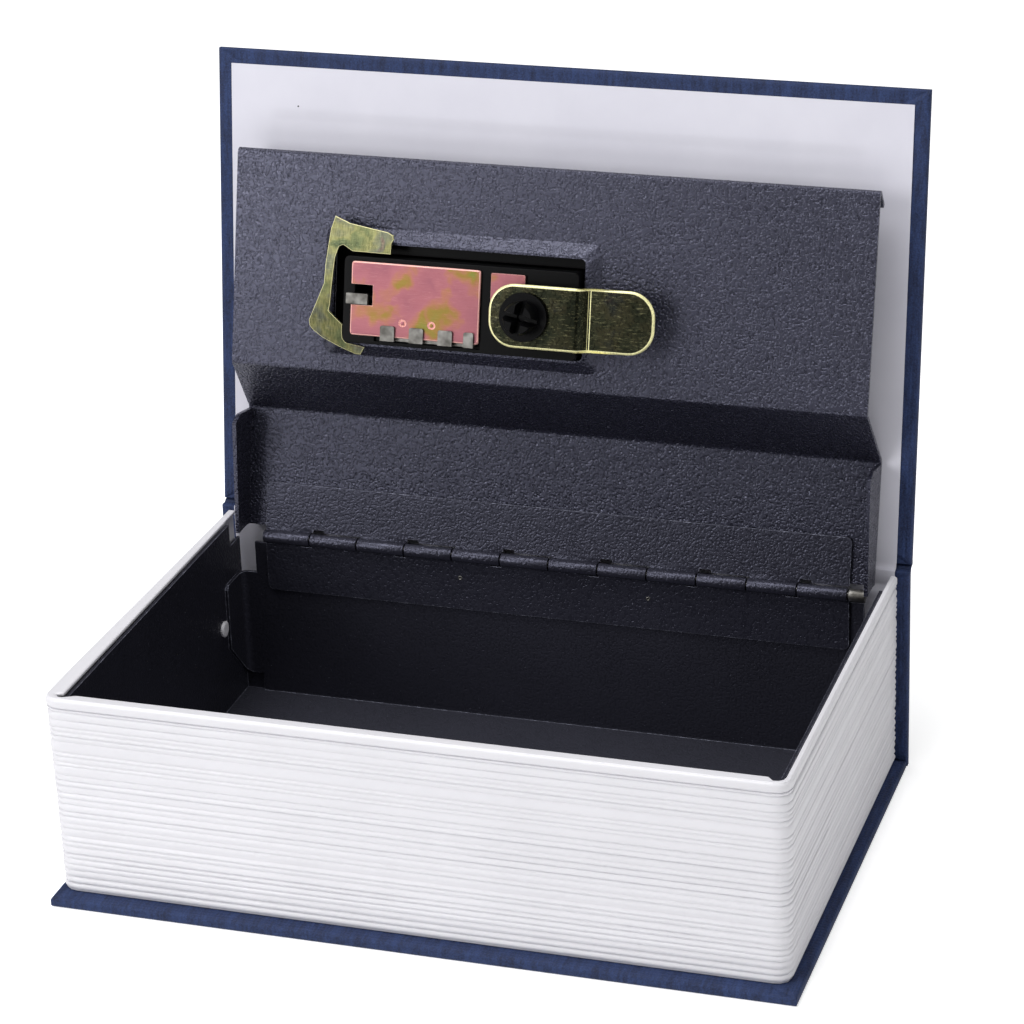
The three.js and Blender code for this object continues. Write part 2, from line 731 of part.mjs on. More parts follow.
// Section of the lid: foot against the hinge leaf, step, recessed panel, folded hem
function lidSection() {
  const hem = THREE.MathUtils.degToRad(180 - hemAngle);
  const points = [[-lidPlateDepth, lidPanelFoot], [-lidPlateDepth, lidStepFoot],
    [-lidPanelDepth, lidStepTop], [-lidPanelDepth, lidHeight],
    [-lidPanelDepth + hemLength * Math.sin(hem), lidHeight - hemLength * Math.cos(hem)]];
  return bentSheet(points, lidBendRadius, lidSheet);
}

// Front view of the lid, narrower above the step
function lidPlan() {
  const half = lidWidth / 2;
  const upper = half - lidUpperTaper;
  const top = lidHeight + hemLength;
  return outline([[-half, 0], [half, 0], [half, lidStepFoot], [upper, lidStepTop], [upper, top],
    [-upper, top], [-upper, lidStepTop], [-half, lidStepFoot]]);
}

// Side flange below the step, with its lower edge curving up to the foot of the lid
function lidSideFlange(side) {
  const outer = side * lidWidth / 2;
  const inner = outer - side * lidSheet;
  const back = -lidPlateDepth + lidSheet;
  const shape = new THREE.Shape();
  shape.moveTo(back, lidStepFoot - lidSheet / 2);
  shape.lineTo(-sideFlangeDepth + sideFlangeEase, lidStepFoot - lidSheet);
  shape.lineTo(-sideFlangeDepth, lidStepFoot - sideFlangeEase);
  shape.lineTo(-sideFlangeFootDepth - lidSheet, sideFlangeFoot + sideFlangeFootDepth);
  shape.lineTo(-sideFlangeFootDepth, sideFlangeFoot);
  shape.quadraticCurveTo(-lidSheet, lidPanelFoot, back, lidPanelFoot);
  return prismAlongX(shape, Math.min(inner, outer), Math.max(inner, outer));
}

// Pocket of the lock, as a loft from the panel to the ledge round the hole
function pocketLoft(inset, depthStart, depthEnd) {
  const halfWidth = lockHoleWidth / 2 + pocketLedge - inset;
  const halfHeight = lockHoleHeight / 2 + pocketLedge - inset;
  const section = (spread, depth) => roundedPoints(
    lockHoleX - halfWidth - spread, lockHoleRise - halfHeight - spread,
    lockHoleX + halfWidth + spread, lockHoleRise + halfHeight + spread, pocketCornerRadius, 3)
    .map(([x, z]) => [x, -depth, z]);
  return loft([section(pocketSlope, depthStart), section(0, depthEnd)]);
}

function lidPlate() {
  const half = lidWidth / 2;
  const sheet = prismAlongX(lidSection(), -half, half)
    .intersect(prismInDepth(lidPlan(), -farDepth, farDepth));
  const hole = roundedRectangle(lockHoleX - lockHoleWidth / 2, lockHoleRise - lockHoleHeight / 2,
    lockHoleX + lockHoleWidth / 2, lockHoleRise + lockHoleHeight / 2, lockHoleCorner);
  const opening = prismInDepth(hole, 0, pocketTopDepth + pocketHeight);
  const pocketOutside = pocketLoft(0, lidPanelDepth - lidSheet / 3, pocketTopDepth);
  const pocketInside = pocketLoft(lidSheet * 0.8, lidOuterDepth - 0.01, pocketTopDepth - lidSheet);
  const solid = sheet.add(lidSideFlange(-1)).add(lidSideFlange(1))
    .add(pocketOutside).subtract(pocketInside).subtract(opening);
  return meshFrom('lid_plate', solid, lidPaint);
}

// Front view of the lock body, grown on every side by a clearance
function housingPlan(clearance) {
  const halfWidth = housingWidth / 2 + clearance;
  const halfHeight = housingHeight / 2 + clearance;
  return roundedRectangle(housingMidX - halfWidth, lockMidRise - halfHeight,
    housingMidX + halfWidth, lockMidRise + halfHeight, housingCorner);
}

// Round hole through the whole lock, in line with the spindle
function spindleBore(radius) {
  return prismInDepth(circle(latchX, latchRise, radius), -farDepth, farDepth, 12);
}

// Moulded lock body, open where the dials, the lever and the spindle run
function lockHousing() {
  const body = prismInDepth(housingPlan(0), faceDepth + lockSeatGap, housingRearDepth);
  const reach = dialRadius + dialClearance;
  const cavityStart = plateLeft + cavityMargin;
  const cavityEnd = plateRight - cavityMargin / 2;
  const cavity = prismInDepth(rectangle(cavityStart, lockMidRise - reach, cavityEnd, lockMidRise + reach),
    0, farDepth);
  const axleHole = prismAlongX(circle(-dialDepth, lockMidRise, axleRadius + axleClearance),
    plateLeft - axleOverrun, plateRight + axleOverrun + axleClearance, 6);
  const combSeat = prismInDepth(rectangle(firstDialX - fingerWidth, plateBottom - cavityMargin - fingerSheet,
    cavityEnd + cavityMargin / 2, lockMidRise), housingRearDepth - fingerSheet - 3 * lockSeatGap, farDepth);
  const solid = body.subtract(cavity).subtract(axleHole)
    .subtract(spindleBore(spindleRadius + spindleClearance)).subtract(combSeat);
  return meshFrom('lock_housing', solid, blackPlastic);
}

// Face of the lock on the outside of the lid, with a window for each dial
function lockFaceplate() {
  const place = (width, height, radius) => roundedRectangle(
    housingMidX - width / 2, lockHoleRise - height / 2,
    housingMidX + width / 2, lockHoleRise + height / 2, radius, 4);
  const flange = prismInDepth(place(faceplateWidth, faceplateHeight, faceplateBorder + 1),
    faceDepth, lidOuterDepth - lockSeatGap);
  const raisedWidth = faceplateWidth - 2 * faceplateBorder;
  const raisedHeight = faceplateHeight - 2 * faceplateBorder;
  const raised = prismInDepth(place(raisedWidth, raisedHeight, faceplateBorder),
    faceplateFront, faceDepth + lockSeatGap);
  const seat = prismInDepth(housingPlan(housingClearance), faceDepth, lidPanelDepth);
  let solid = flange.add(raised).subtract(seat);
  for (let dial = 0; dial < dialCount; dial += 1) {
    const window = centredRectangle(firstDialX + dial * dialPitch, lockMidRise,
      dialWidth + 2 * dialWindowGap, 2 * dialRadius - dialWindowGap);
    solid = solid.subtract(prismInDepth(window, 0, lidPanelDepth));
  }
  solid = solid.subtract(spindleBore(spindleRadius + spindleClearance));
  return meshFrom('lock_faceplate', solid, blackPlastic);
}

// Number wheel with a finger notch between the digits
function lockDial(index) {
  const points = [];
  for (let digit = 0; digit < digitsPerDial; digit += 1) {
    [0, 0.3, 0.7].forEach((part) => {
      const angle = (digit + part) / digitsPerDial * 2 * Math.PI;
      const radius = part === 0 ? dialRadius - dialGripDepth : dialRadius;
      points.push([-dialDepth + radius * Math.cos(angle), lockMidRise + radius * Math.sin(angle)]);
    });
  }
  const x = firstDialX + index * dialPitch;
  const wheel = prismAlongX(outline(points), x - dialWidth / 2, x + dialWidth / 2);
  const bore = prismAlongX(circle(-dialDepth, lockMidRise, axleRadius + axleClearance),
    x - dialWidth, x + dialWidth, 6);
  return meshFrom(`dial_${index + 1}`, wheel.subtract(bore), blackPlastic);
}

function dialAxle() {
  const rod = prismAlongX(circle(-dialDepth, lockMidRise, axleRadius),
    plateLeft - axleOverrun + axleClearance, plateRight + axleOverrun, 6);
  return meshFrom('dial_axle', rod, bareSteel);
}

// Shallow ring stamped into the cover plate
function ringMark(x, z) {
  const start = plateFace - ringMarkDepth;
  const outer = prismInDepth(circle(x, z, ringMarkRadius), start, farDepth, 6);
  const inner = prismInDepth(circle(x, z, ringMarkRadius - ringMarkWidth), start - 1, farDepth, 6);
  return outer.subtract(inner);
}

// Plated cover over the dials with eased edges, the notch of the reset lever and two ring marks
function lockCoverPlate() {
  const layer = (inset, depth) => roundedPoints(plateLeft + inset, plateBottom + inset,
    plateRight - inset, plateTop - inset, 2 * coverPlateEase).map(([x, z]) => [x, -depth, z]);
  const plate = loft([layer(0, plateRear), layer(0, plateFace - coverPlateEase),
    layer(coverPlateEase / 3, plateFace - coverPlateEase / 3), layer(coverPlateEase, plateFace)]);
  const notchBottom = plateBottom + leverNotchRise;
  const notch = prismInDepth(rectangle(plateLeft - leverNotchWidth, notchBottom,
    plateLeft + leverNotchWidth, notchBottom + leverNotchHeight), 0, farDepth);
  const markRise = plateBottom + ringMarkRise;
  const markX = firstDialX + dialPitch / 2;
  const solid = plate.subtract(notch).subtract(ringMark(markX, markRise))
    .subtract(ringMark(markX + dialPitch, markRise));
  return meshFrom('lock_cover_plate', solid, pinkZinc);
}

// Lever that sets a new combination; it slides in the notch of the cover plate
function resetLever() {
  const left = plateLeft - leverOverhang;
  const right = left + leverReach;
  const bottom = plateBottom + leverNotchRise + leverGap;
  const tab = prismInDepth(roundedRectangle(left, bottom, right, bottom + leverHeight, leverGap),
    plateRear, plateRear + leverSheet);
  const stem = prismInDepth(rectangle(plateLeft + cavityMargin + leverGap, bottom + 2 * leverGap,
    right - leverOverhang, bottom + leverHeight - 2 * leverGap),
    plateRear - leverStemDepth, plateRear + leverSheet / 2);
  return meshFrom('reset_lever', tab.add(stem), springSteel);
}

// Comb of detent springs, hooked over the lower edge of the cover plate
function springComb() {
  const hook = plateBottom - fingerDrop - fingerSheet;
  const under = housingRearDepth - fingerSheet - 2 * lockSeatGap;
  const over = plateFace + lockSeatGap;
  const tip = plateBottom + fingerReach;
  const lastX = housingMidX + lastFingerShift;
  const base = rectangle(firstDialX - fingerWidth / 2, hook, lastX + lastFingerWidth / 2,
    plateBottom + fingerReach / 2);
  let comb = prismInDepth(base, under, under + fingerSheet);
  const fingers = [];
  for (let dial = 0; dial < dialCount; dial += 1) {
    fingers.push([firstDialX + dial * dialPitch, fingerWidth]);
  }
  fingers.push([lastX, lastFingerWidth]);
  fingers.forEach(([x, width]) => {
    const left = x - width / 2;
    const right = x + width / 2;
    const web = prismInDepth(rectangle(left, hook, right, hook + fingerSheet), under, over + fingerSheet);
    const finger = prismInDepth(roundedRectangle(left, hook, right, tip, fingerSheet),
      over, over + fingerSheet);
    comb = comb.add(web).add(finger);
  });
  return meshFrom('spring_comb', comb, springSteel);
}

// Second plated piece, beside the spindle under the latch
function spindlePlate() {
  const left = plateRight + spindlePlateGap;
  const bottom = latchRise - spindlePlateDrop;
  const top = plateTop - coverPlateEase;
  const shape = roundedRectangle(left, bottom, left + spindlePlateWidth, top, coverPlateEase);
  const plate = prismInDepth(shape, plateRear, plateFace);
  return meshFrom('spindle_plate', plate.subtract(spindleBore(spindleRadius + 1)), pinkZinc);
}

// Outside knob and its spindle, with a square that drives the latch
function lockKnob() {
  const knobBack = faceplateFront - knobSeatGap;
  const knobFace = knobBack - knobPlate;
  const gripEnd = knobRadius - knobSeatGap * 2;
  const disc = prismInDepth(circle(latchX, latchRise, knobRadius), knobFace, knobBack, 12);
  const grip = prismInDepth(roundedRectangle(latchX - gripEnd, latchRise - knobGripWidth / 2,
    latchX + gripEnd, latchRise + knobGripWidth / 2, knobGripWidth / 3),
    knobFace - knobGripHeight, knobFace + knobSeatGap);
  const spindleEnd = latchHubDepth - squareClearance;
  const spindle = prismInDepth(circle(latchX, latchRise, spindleRadius), knobFace, spindleEnd, 12);
  const half = squareSide / 2;
  const squareEnd = latchHubDepth + latchSheet;
  const square = prismInDepth(roundedRectangle(latchX - half, latchRise - half,
    latchX + half, latchRise + half, squareSide / 8), spindleEnd - latchSheet, squareEnd);
  const peg = prismInDepth(circle(latchX, latchRise, retainerBore - squareClearance),
    squareEnd - latchSheet, squareEnd + pegLength, 6);
  return meshFrom('lock_knob', disc.add(grip).add(spindle).add(square).add(peg), blackPlastic);
}

// Cranked latch: hub over the spindle, a jog towards the lid, then a paddle, round at both ends
function latchArm() {
  const half = latchWidth / 2;
  const tip = latchX + latchReach;
  const tail = latchX - latchBack;
  const shape = roundedRectangle(tail, latchRise - half, tip, latchRise + half, latchTipRadius, 8);
  const plan = prismInDepth(shape, 0, farDepth);
  const section = bentSheet([[tip + half, latchPaddleDepth], [latchX + latchJogEnd, latchPaddleDepth],
    [latchX + latchJogStart, latchHubDepth], [tail - half, latchHubDepth]],
    latchBendRadius, latchSheet, 2);
  const band = extruded(section, 2 * latchWidth, 4);
  const turn = new THREE.Matrix4().makeBasis(
    new THREE.Vector3(1, 0, 0), new THREE.Vector3(0, -1, 0), new THREE.Vector3(0, 0, -1));
  band.applyMatrix4(turn);
  band.translate(0, 0, latchRise + latchWidth);
  const seat = squareSide / 2 + squareClearance;
  const hole = prismInDepth(roundedRectangle(latchX - seat, latchRise - seat, latchX + seat,
    latchRise + seat, squareSide / 8), 0, farDepth);
  return meshFrom('cam_latch', solidFrom(band).intersect(plan).subtract(hole), yellowZinc);
}

// V-shaped slot across the crown of the retainer, turned about the spindle
function crownSlot(top, turn) {
  const floor = top - crownSlotDepth;
  const wide = crownSlotWidth / 2;
  const narrow = crownSlotFoot / 2;
  const section = outline([[-narrow, -floor], [-wide, -top - crownSlotFoot],
    [wide, -top - crownSlotFoot], [narrow, -floor]]);
  const length = retainerRadius;
  return prismAlongZ(section, -length, length).rotate([0, turn, 0]).translate([latchX, 0, latchRise]);
}

// Snap retainer over the end of the spindle: a disc and a crown split by a cross
function latchRetainer() {
  const start = latchHubDepth + latchSheet + lockSeatGap;
  const shoulder = start + retainerThickness;
  const top = shoulder + crownHeight;
  const disc = prismInDepth(circle(latchX, latchRise, retainerRadius), start, shoulder, 12);
  const ring = (radius, depth) => {
    const points = [];
    for (let step = 0; step < 24; step += 1) {
      const angle = step * Math.PI / 12;
      points.push([latchX + radius * Math.cos(angle), -depth, latchRise + radius * Math.sin(angle)]);
    }
    return points;
  };
  const crown = loft([ring(crownRadius, start), ring(crownRadius, top - crownHeight / 3),
    ring(crownTipRadius, top)]);
  const bore = prismInDepth(circle(latchX, latchRise, retainerBore), 0, farDepth, 8);
  const solid = disc.add(crown).subtract(crownSlot(top, crownTurn))
    .subtract(crownSlot(top, crownTurn + 90)).subtract(bore);
  return meshFrom('latch_retainer', solid, blackPlastic);
}

// Bowed C-shaped clip that straddles the end of the lock
function retainingClip() {
  const left = housingMidX - housingWidth / 2 - clipSideReach;
  const foot = lockMidRise - housingHeight / 2 - clipFootReach;
  const parts = [[0.27, 1], [0.23, 0.91], [0.19, 0.66], [0.18, 0.51], [0.13, 0.43], [0.06, 0.32],
    [0, 0.23], [0.01, 0.19], [0.05, 0.16], [0.16, 0.11], [0.37, 0.05], [0.57, 0.004], [0.63, 0.004],
    [0.68, 0.06], [0.45, 0.083], [0.41, 0.112], [0.405, 0.16], [0.41, 0.215], [0.24, 0.31],
    [0.255, 0.35], [0.3, 0.7], [0.34, 0.785], [0.39, 0.8], [0.51, 0.757], [0.976, 0.754],
    [0.976, 0.83], [1, 0.86], [0.99, 0.89], [0.92, 0.91], [0.71, 0.93], [0.46, 0.955]];
  const shape = outline(parts.map(([a, b]) => [left + a * clipWidth, foot + b * clipHeight]));
  const plan = prismInDepth(shape, 0, farDepth);
  const points = [];
  const steps = 10;
  for (let step = 0; step <= steps; step += 1) {
    const part = step / steps;
    points.push([-(clipDepth + 4 * clipBow * part * (1 - part)), foot + clipHeight * part]);
  }
  const section = bentSheet(points.reverse(), 0, clipSheet);
  const bowed = prismAlongX(section, left, left + clipWidth);
  return meshFrom('retaining_clip', bowed.intersect(plan), yellowZinc);
}

function frontBoard() {
  const board = wrappedBoard('front_board', caseWidth, frontBoardHeight, boardThickness);
  board.rotation.x = Math.PI / 2;
  board.position.set(0, boardThickness, jointGap / 2);
  return board;
}

// Paper inside the front board, running down to the joint
function frontEndpaper() {
  const half = caseWidth / 2 - endpaperMargin;
  const sheet = prismAlongX(rectangle(-endpaperThickness, endpaperThickness,
    0, jointGap / 2 + frontBoardHeight - endpaperMargin), -half, half);
  return meshFrom('front_endpaper', sheet, paper);
}

// Cover: front board and its endpaper, leaning back about the cloth joint
function coverAssembly() {
  const cover = new THREE.Group();
  cover.position.set(0, coverPivotY, coverPivotZ);
  cover.rotation.x = -THREE.MathUtils.degToRad(coverLean);
  cover.add(frontBoard(), frontEndpaper());
  return cover;
}

// Lid: bent plate, its hinge leaf and the whole lock, leaning back about the hinge pin
function lidAssembly() {
  const lid = new THREE.Group();
  lid.position.set(0, hingeY, hingeZ);
  lid.rotation.x = -THREE.MathUtils.degToRad(lidLean);
  lid.add(lidPlate(), hingeLeaf('hinge_leaf_lid', lidLeafHeight, 0));
  lid.add(lockHousing(), lockFaceplate(), dialAxle(), lockCoverPlate());
  lid.add(spindlePlate(), springComb(), resetLever());
  for (let dial = 0; dial < dialCount; dial += 1) {
    lid.add(lockDial(dial));
  }
  lid.add(retainingClip(), lockKnob(), latchArm(), latchRetainer());
  return lid;
}

// Leaf on the box: the lid's leaf turned upside down, so its knuckles fall between the other's
function boxHinge() {
  const hinge = new THREE.Group();
  hinge.position.set(0, hingeY, hingeZ);
  const leaf = hingeLeaf('hinge_leaf_box', boxLeafHeight, 0);
  leaf.rotation.y = Math.PI;
  hinge.add(leaf, hingePin());
  return hinge;
}

const safe = new THREE.Group();
safe.add(backBoard(), spineBoard(), backJointCloth(), frontJointCloth(), spineEndpaper());
safe.add(pageBlock(), steelBox(), keeperBracket(), boxHinge(), lidAssembly(), coverAssembly());

export default safe;
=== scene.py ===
"""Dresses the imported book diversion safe: book cloth, page edges, coated steel, plated lock."""

import logging
import math
from dataclasses import dataclass
from enum import Enum
from typing import Any, Callable, Optional, Sequence, Union

import bmesh
import bpy
from mathutils import Matrix, Vector, noise


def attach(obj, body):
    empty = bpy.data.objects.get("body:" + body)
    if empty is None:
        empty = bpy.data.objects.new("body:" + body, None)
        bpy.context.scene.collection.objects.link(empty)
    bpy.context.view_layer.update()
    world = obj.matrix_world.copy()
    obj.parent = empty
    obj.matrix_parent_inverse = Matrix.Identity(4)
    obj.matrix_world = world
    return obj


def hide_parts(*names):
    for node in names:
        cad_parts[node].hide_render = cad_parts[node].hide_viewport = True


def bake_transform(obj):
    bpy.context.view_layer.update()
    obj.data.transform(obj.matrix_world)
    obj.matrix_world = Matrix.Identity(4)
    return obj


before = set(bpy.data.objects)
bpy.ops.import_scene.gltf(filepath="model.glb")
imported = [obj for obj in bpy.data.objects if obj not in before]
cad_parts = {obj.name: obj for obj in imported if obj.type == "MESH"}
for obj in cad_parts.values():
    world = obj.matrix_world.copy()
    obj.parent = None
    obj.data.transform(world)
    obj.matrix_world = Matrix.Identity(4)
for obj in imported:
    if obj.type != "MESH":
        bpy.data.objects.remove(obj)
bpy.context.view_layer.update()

MM = 0.001
log = logging.getLogger("book_safe")

Point = tuple[float, float, float]
Colour = tuple[float, float, float, float]
Place = Callable[[float, float, float], Point]
Stops = Sequence[tuple[float, str]]
Source = Union[bpy.types.Node, bpy.types.NodeSocket]
Inputs = Union[Sequence[Any], dict[Any, Any]]

WHITE: Colour = (1.0, 1.0, 1.0, 1.0)
# A mix node has its two inputs once for numbers and once for colours, under the same names
NUMBER_A, NUMBER_B = 2, 3
COLOUR_A, COLOUR_B = 6, 7


class Body(Enum):
    """Rigid bodies of the safe that a piece can ride on."""

    CASE = "case"
    LID = "lid"
    COVER = "cover"
    LATCH = "latch"
    RESET = "reset"
    DIAL_1 = "dial_1_wheel"
    DIAL_2 = "dial_2_wheel"
    DIAL_3 = "dial_3_wheel"


class Slot(Enum):
    """Material slots of the record."""

    BOOK_CLOTH = "book_cloth"
    JOINT_CLOTH = "joint_cloth"
    ENDPAPER = "endpaper"
    PAGE_PLASTIC = "page_plastic"
    BOX_PAINT = "box_paint"
    LID_PAINT = "lid_paint"
    HINGE_PAINT = "hinge_paint"
    BARE_STEEL = "bare_steel"
    BLACK_PLASTIC = "black_plastic"
    PINK_ZINC = "pink_zinc"
    YELLOW_ZINC = "yellow_zinc"


class Look(Enum):
    """Finishes of pieces that look different from the rest of their slot."""

    DARK_REFLECTION_ZINC = "handled_zinc"


class Kind(Enum):
    """The kinds of node in use: Blender's name of each, and an operation where it has one."""

    ABSOLUTE = "ShaderNodeMath", "ABSOLUTE"
    ADD = "ShaderNodeMath", "ADD"
    ATTRIBUTE = "ShaderNodeAttribute"
    BUMP = "ShaderNodeBump"
    CAPTURE = "GeometryNodeCaptureAttribute"
    CELLS = "ShaderNodeTexVoronoi"
    CHANCE = "ShaderNodeTexWhiteNoise"
    CHANNELS = "ShaderNodeSeparateColor"
    CLOUDS = "ShaderNodeTexNoise"
    COORDINATES = "ShaderNodeTexCoord"
    COSINE = "ShaderNodeMath", "COSINE"
    CURVE_OF_MESH = "GeometryNodeMeshToCurve"
    CYCLIC = "GeometryNodeSetSplineCyclic"
    DIVIDE = "ShaderNodeMath", "DIVIDE"
    FILLET = "GeometryNodeFilletCurve"
    FLOOR = "ShaderNodeMath", "FLOOR"
    GREATER = "ShaderNodeMath", "GREATER_THAN"
    GROUP_INPUT = "NodeGroupInput"
    GROUP_OUTPUT = "NodeGroupOutput"
    INDEX = "GeometryNodeInputIndex"
    INSTANCES = "GeometryNodeInstanceOnPoints"
    JOIN_GEOMETRY = "GeometryNodeJoinGeometry"
    JOIN_XYZ = "ShaderNodeCombineXYZ"
    LESS = "ShaderNodeMath", "LESS_THAN"
    LIGHT_PATH = "ShaderNodeLightPath"
    LINE = "GeometryNodeMeshLine"
    MAP_RANGE = "ShaderNodeMapRange"
    MAXIMUM = "ShaderNodeMath", "MAXIMUM"
    MINIMUM = "ShaderNodeMath", "MINIMUM"
    MIX = "ShaderNodeMix"
    MULTIPLY = "ShaderNodeMath", "MULTIPLY"
    MULTIPLY_ADD = "ShaderNodeMath", "MULTIPLY_ADD"
    NORMAL = "GeometryNodeInputNormal"
    PLACE = "ShaderNodeMapping"
    POSITION = "GeometryNodeInputPosition"
    POWER = "ShaderNodeMath", "POWER"
    RAMP = "ShaderNodeValToRGB"
    REALIZE = "GeometryNodeRealizeInstances"
    RECTANGLE = "GeometryNodeCurvePrimitiveQuadrilateral"
    RESAMPLE = "GeometryNodeResampleCurve"
    SCALE = "ShaderNodeVectorMath", "SCALE"
    SET_MATERIAL = "GeometryNodeSetMaterial"
    SET_POSITION = "GeometryNodeSetPosition"
    SHIFT = "ShaderNodeVectorMath", "MULTIPLY_ADD"
    SINE = "ShaderNodeMath", "SINE"
    SPLIT_XYZ = "ShaderNodeSeparateXYZ"
    SUBTRACT = "ShaderNodeMath", "SUBTRACT"
    SWEEP = "GeometryNodeCurveToMesh"
    THREADS = "ShaderNodeTexWave"

    def __init__(self, blender_name: str, operation: str = "") -> None:
        """Keeps the name and the operation.

        Args:
            blender_name: Blender's name of the node type.
            operation: Blender's name of what an arithmetic node works out.
        """
        self.blender_name = blender_name
        self.operation = operation


def srgb(code: str) -> Colour:
    """Turns an sRGB hex colour into the linear colour that a shader needs.

    Args:
        code: Six hex digits after a hash sign.

    Returns:
        Linear red, green and blue, with alpha 1.
    """
    values = [int(code[i:i + 2], 16) / 255 for i in (1, 3, 5)]
    linear = [v / 12.92 if v <= 0.04045 else ((v + 0.055) / 1.055) ** 2.4 for v in values]
    return (*linear, 1.0)


class Tree:
    """A node tree that grows node by node."""

    def __init__(self, tree: bpy.types.NodeTree) -> None:
        """Keeps the tree.

        Args:
            tree: Node tree of a material, of the world or of a geometry modifier.
        """
        self.tree = tree

    def add(self, kind: Kind, inputs: Inputs = (), stops: Stops = (), keep: str = "",
            **settings: Any) -> bpy.types.Node:
        """Adds a node with its settings, and sets or links its inputs.

        Args:
            kind: The kind of node.
            inputs: Values or sources in order, or by the input's name or number.
            stops: Places and sRGB hex colours of a ramp, from 0 to 1.
            keep: Type of the value that a capture node keeps.
            settings: Attributes of the node.

        Returns:
            The new node.
        """
        node = self.tree.nodes.new(kind.blender_name)
        if kind.operation:
            node.operation = kind.operation
        if keep:
            node.capture_items.new(keep, "kept")
        for name, value in settings.items():
            setattr(node, name, value)
        for number, (place, code) in enumerate(stops):
            band = node.color_ramp.elements
            element = band[number] if number < len(band) else band.new(1.0)
            element.position = place
            element.color = srgb(code)
        self.feed(node, inputs)
        return node

    def feed(self, node: bpy.types.Node, inputs: Inputs) -> None:
        """Sets or links a node's inputs; a node stands for its first output in use.

        Args:
            node: The node.
            inputs: Values or sources in order, or by the input's name or number.
        """
        pairs = inputs.items() if isinstance(inputs, dict) else enumerate(inputs)
        for key, value in pairs:
            if isinstance(value, bpy.types.Node):
                value = next(socket for socket in value.outputs if socket.enabled)
            if isinstance(value, bpy.types.NodeSocket):
                self.tree.links.new(value, node.inputs[key])
            else:
                node.inputs[key].default_value = value


class Coating(Tree):
    """The node tree of one material, with its shader and its object coordinates."""

    def __init__(self, name: str) -> None:
        """Starts the material.

        Args:
            name: Name of the material.
        """
        self.material = bpy.data.materials.new(name)
        self.material.use_nodes = True
        super().__init__(self.material.node_tree)
        self.shader = self.tree.nodes["Principled BSDF"]
        self.place = self.add(Kind.COORDINATES).outputs["Object"]

    def spots(self, width_mm: float, detail: float = 3.0, rough: float = 0.55,
              stretch: Optional[Point] = None, turn: Point = (0.0, 0.0, 0.0),
              cut: Optional[tuple[float, float]] = None, **limits: float) -> bpy.types.Node:
        """Draws spots of a real width, stretched and cut off between two levels where asked.

        Args:
            width_mm: Width of a spot in millimetres.
            detail: Number of finer layers.
            rough: Share that each finer layer keeps.
            stretch: Scale along each axis; a small number draws the spots out.
            turn: Turn of the stretched pattern in radians.
            cut: Levels of the pattern that come out as 0 and 1.
            limits: Other inputs of the cut.

        Returns:
            The node that gives the value, from 0 to 1.
        """
        place = self.place
        if stretch:
            place = self.add(Kind.PLACE, {"Vector": place, "Rotation": turn, "Scale": stretch})
        value = self.add(Kind.CLOUDS, {"Vector": place, "Scale": 1 / (width_mm * MM),
                                       "Detail": detail, "Roughness": rough})
        if cut:
            value = self.add(Kind.MAP_RANGE, {"Value": value, "From Min": cut[0],
                                              "From Max": cut[1], **limits})
        return value


@dataclass(frozen=True)
class Finish:
    """What all finishes share: a name, a roughness range and a bump of a real height."""

    name: str
    light: str
    dark: str
    rough_low: float = 0.4
    rough_high: float = 0.6
    bump: float = 0.3

    def build(self) -> bpy.types.Material:
        """Makes the material and hands its tree to the finish's own pattern.

        Returns:
            The finished material.
        """
        coating = Coating(self.name)
        self.pattern(coating)
        return coating.material

    def pattern(self, coating: Coating) -> None:
        """Draws the finish's own colour, gloss and relief.

        Args:
            coating: The material's node tree.
        """
        raise NotImplementedError

    def surface(self, coating: Coating, colour: Source, gloss: Source,
                heights: Sequence[tuple[Source, float]]) -> None:
        """Feeds the shader with a colour, a roughness between the limits and stacked bumps.

        Args:
            coating: The material's node tree.
            colour: Source of the colour.
            gloss: Source from 0 to 1, spread between the two roughness limits.
            heights: Sources from 0 to 1 with their heights in millimetres.
        """
        rough = coating.add(Kind.MAP_RANGE, {
            "Value": gloss, "To Min": self.rough_low, "To Max": self.rough_high})
        coating.feed(coating.shader, {"Base Color": colour, "Roughness": rough})
        normal: dict[str, Source] = {}
        for source, height in heights:
            normal = {"Normal": coating.add(Kind.BUMP, {
                "Height": source, "Distance": height * MM, "Strength": self.bump, **normal})}
        coating.feed(coating.shader, normal)


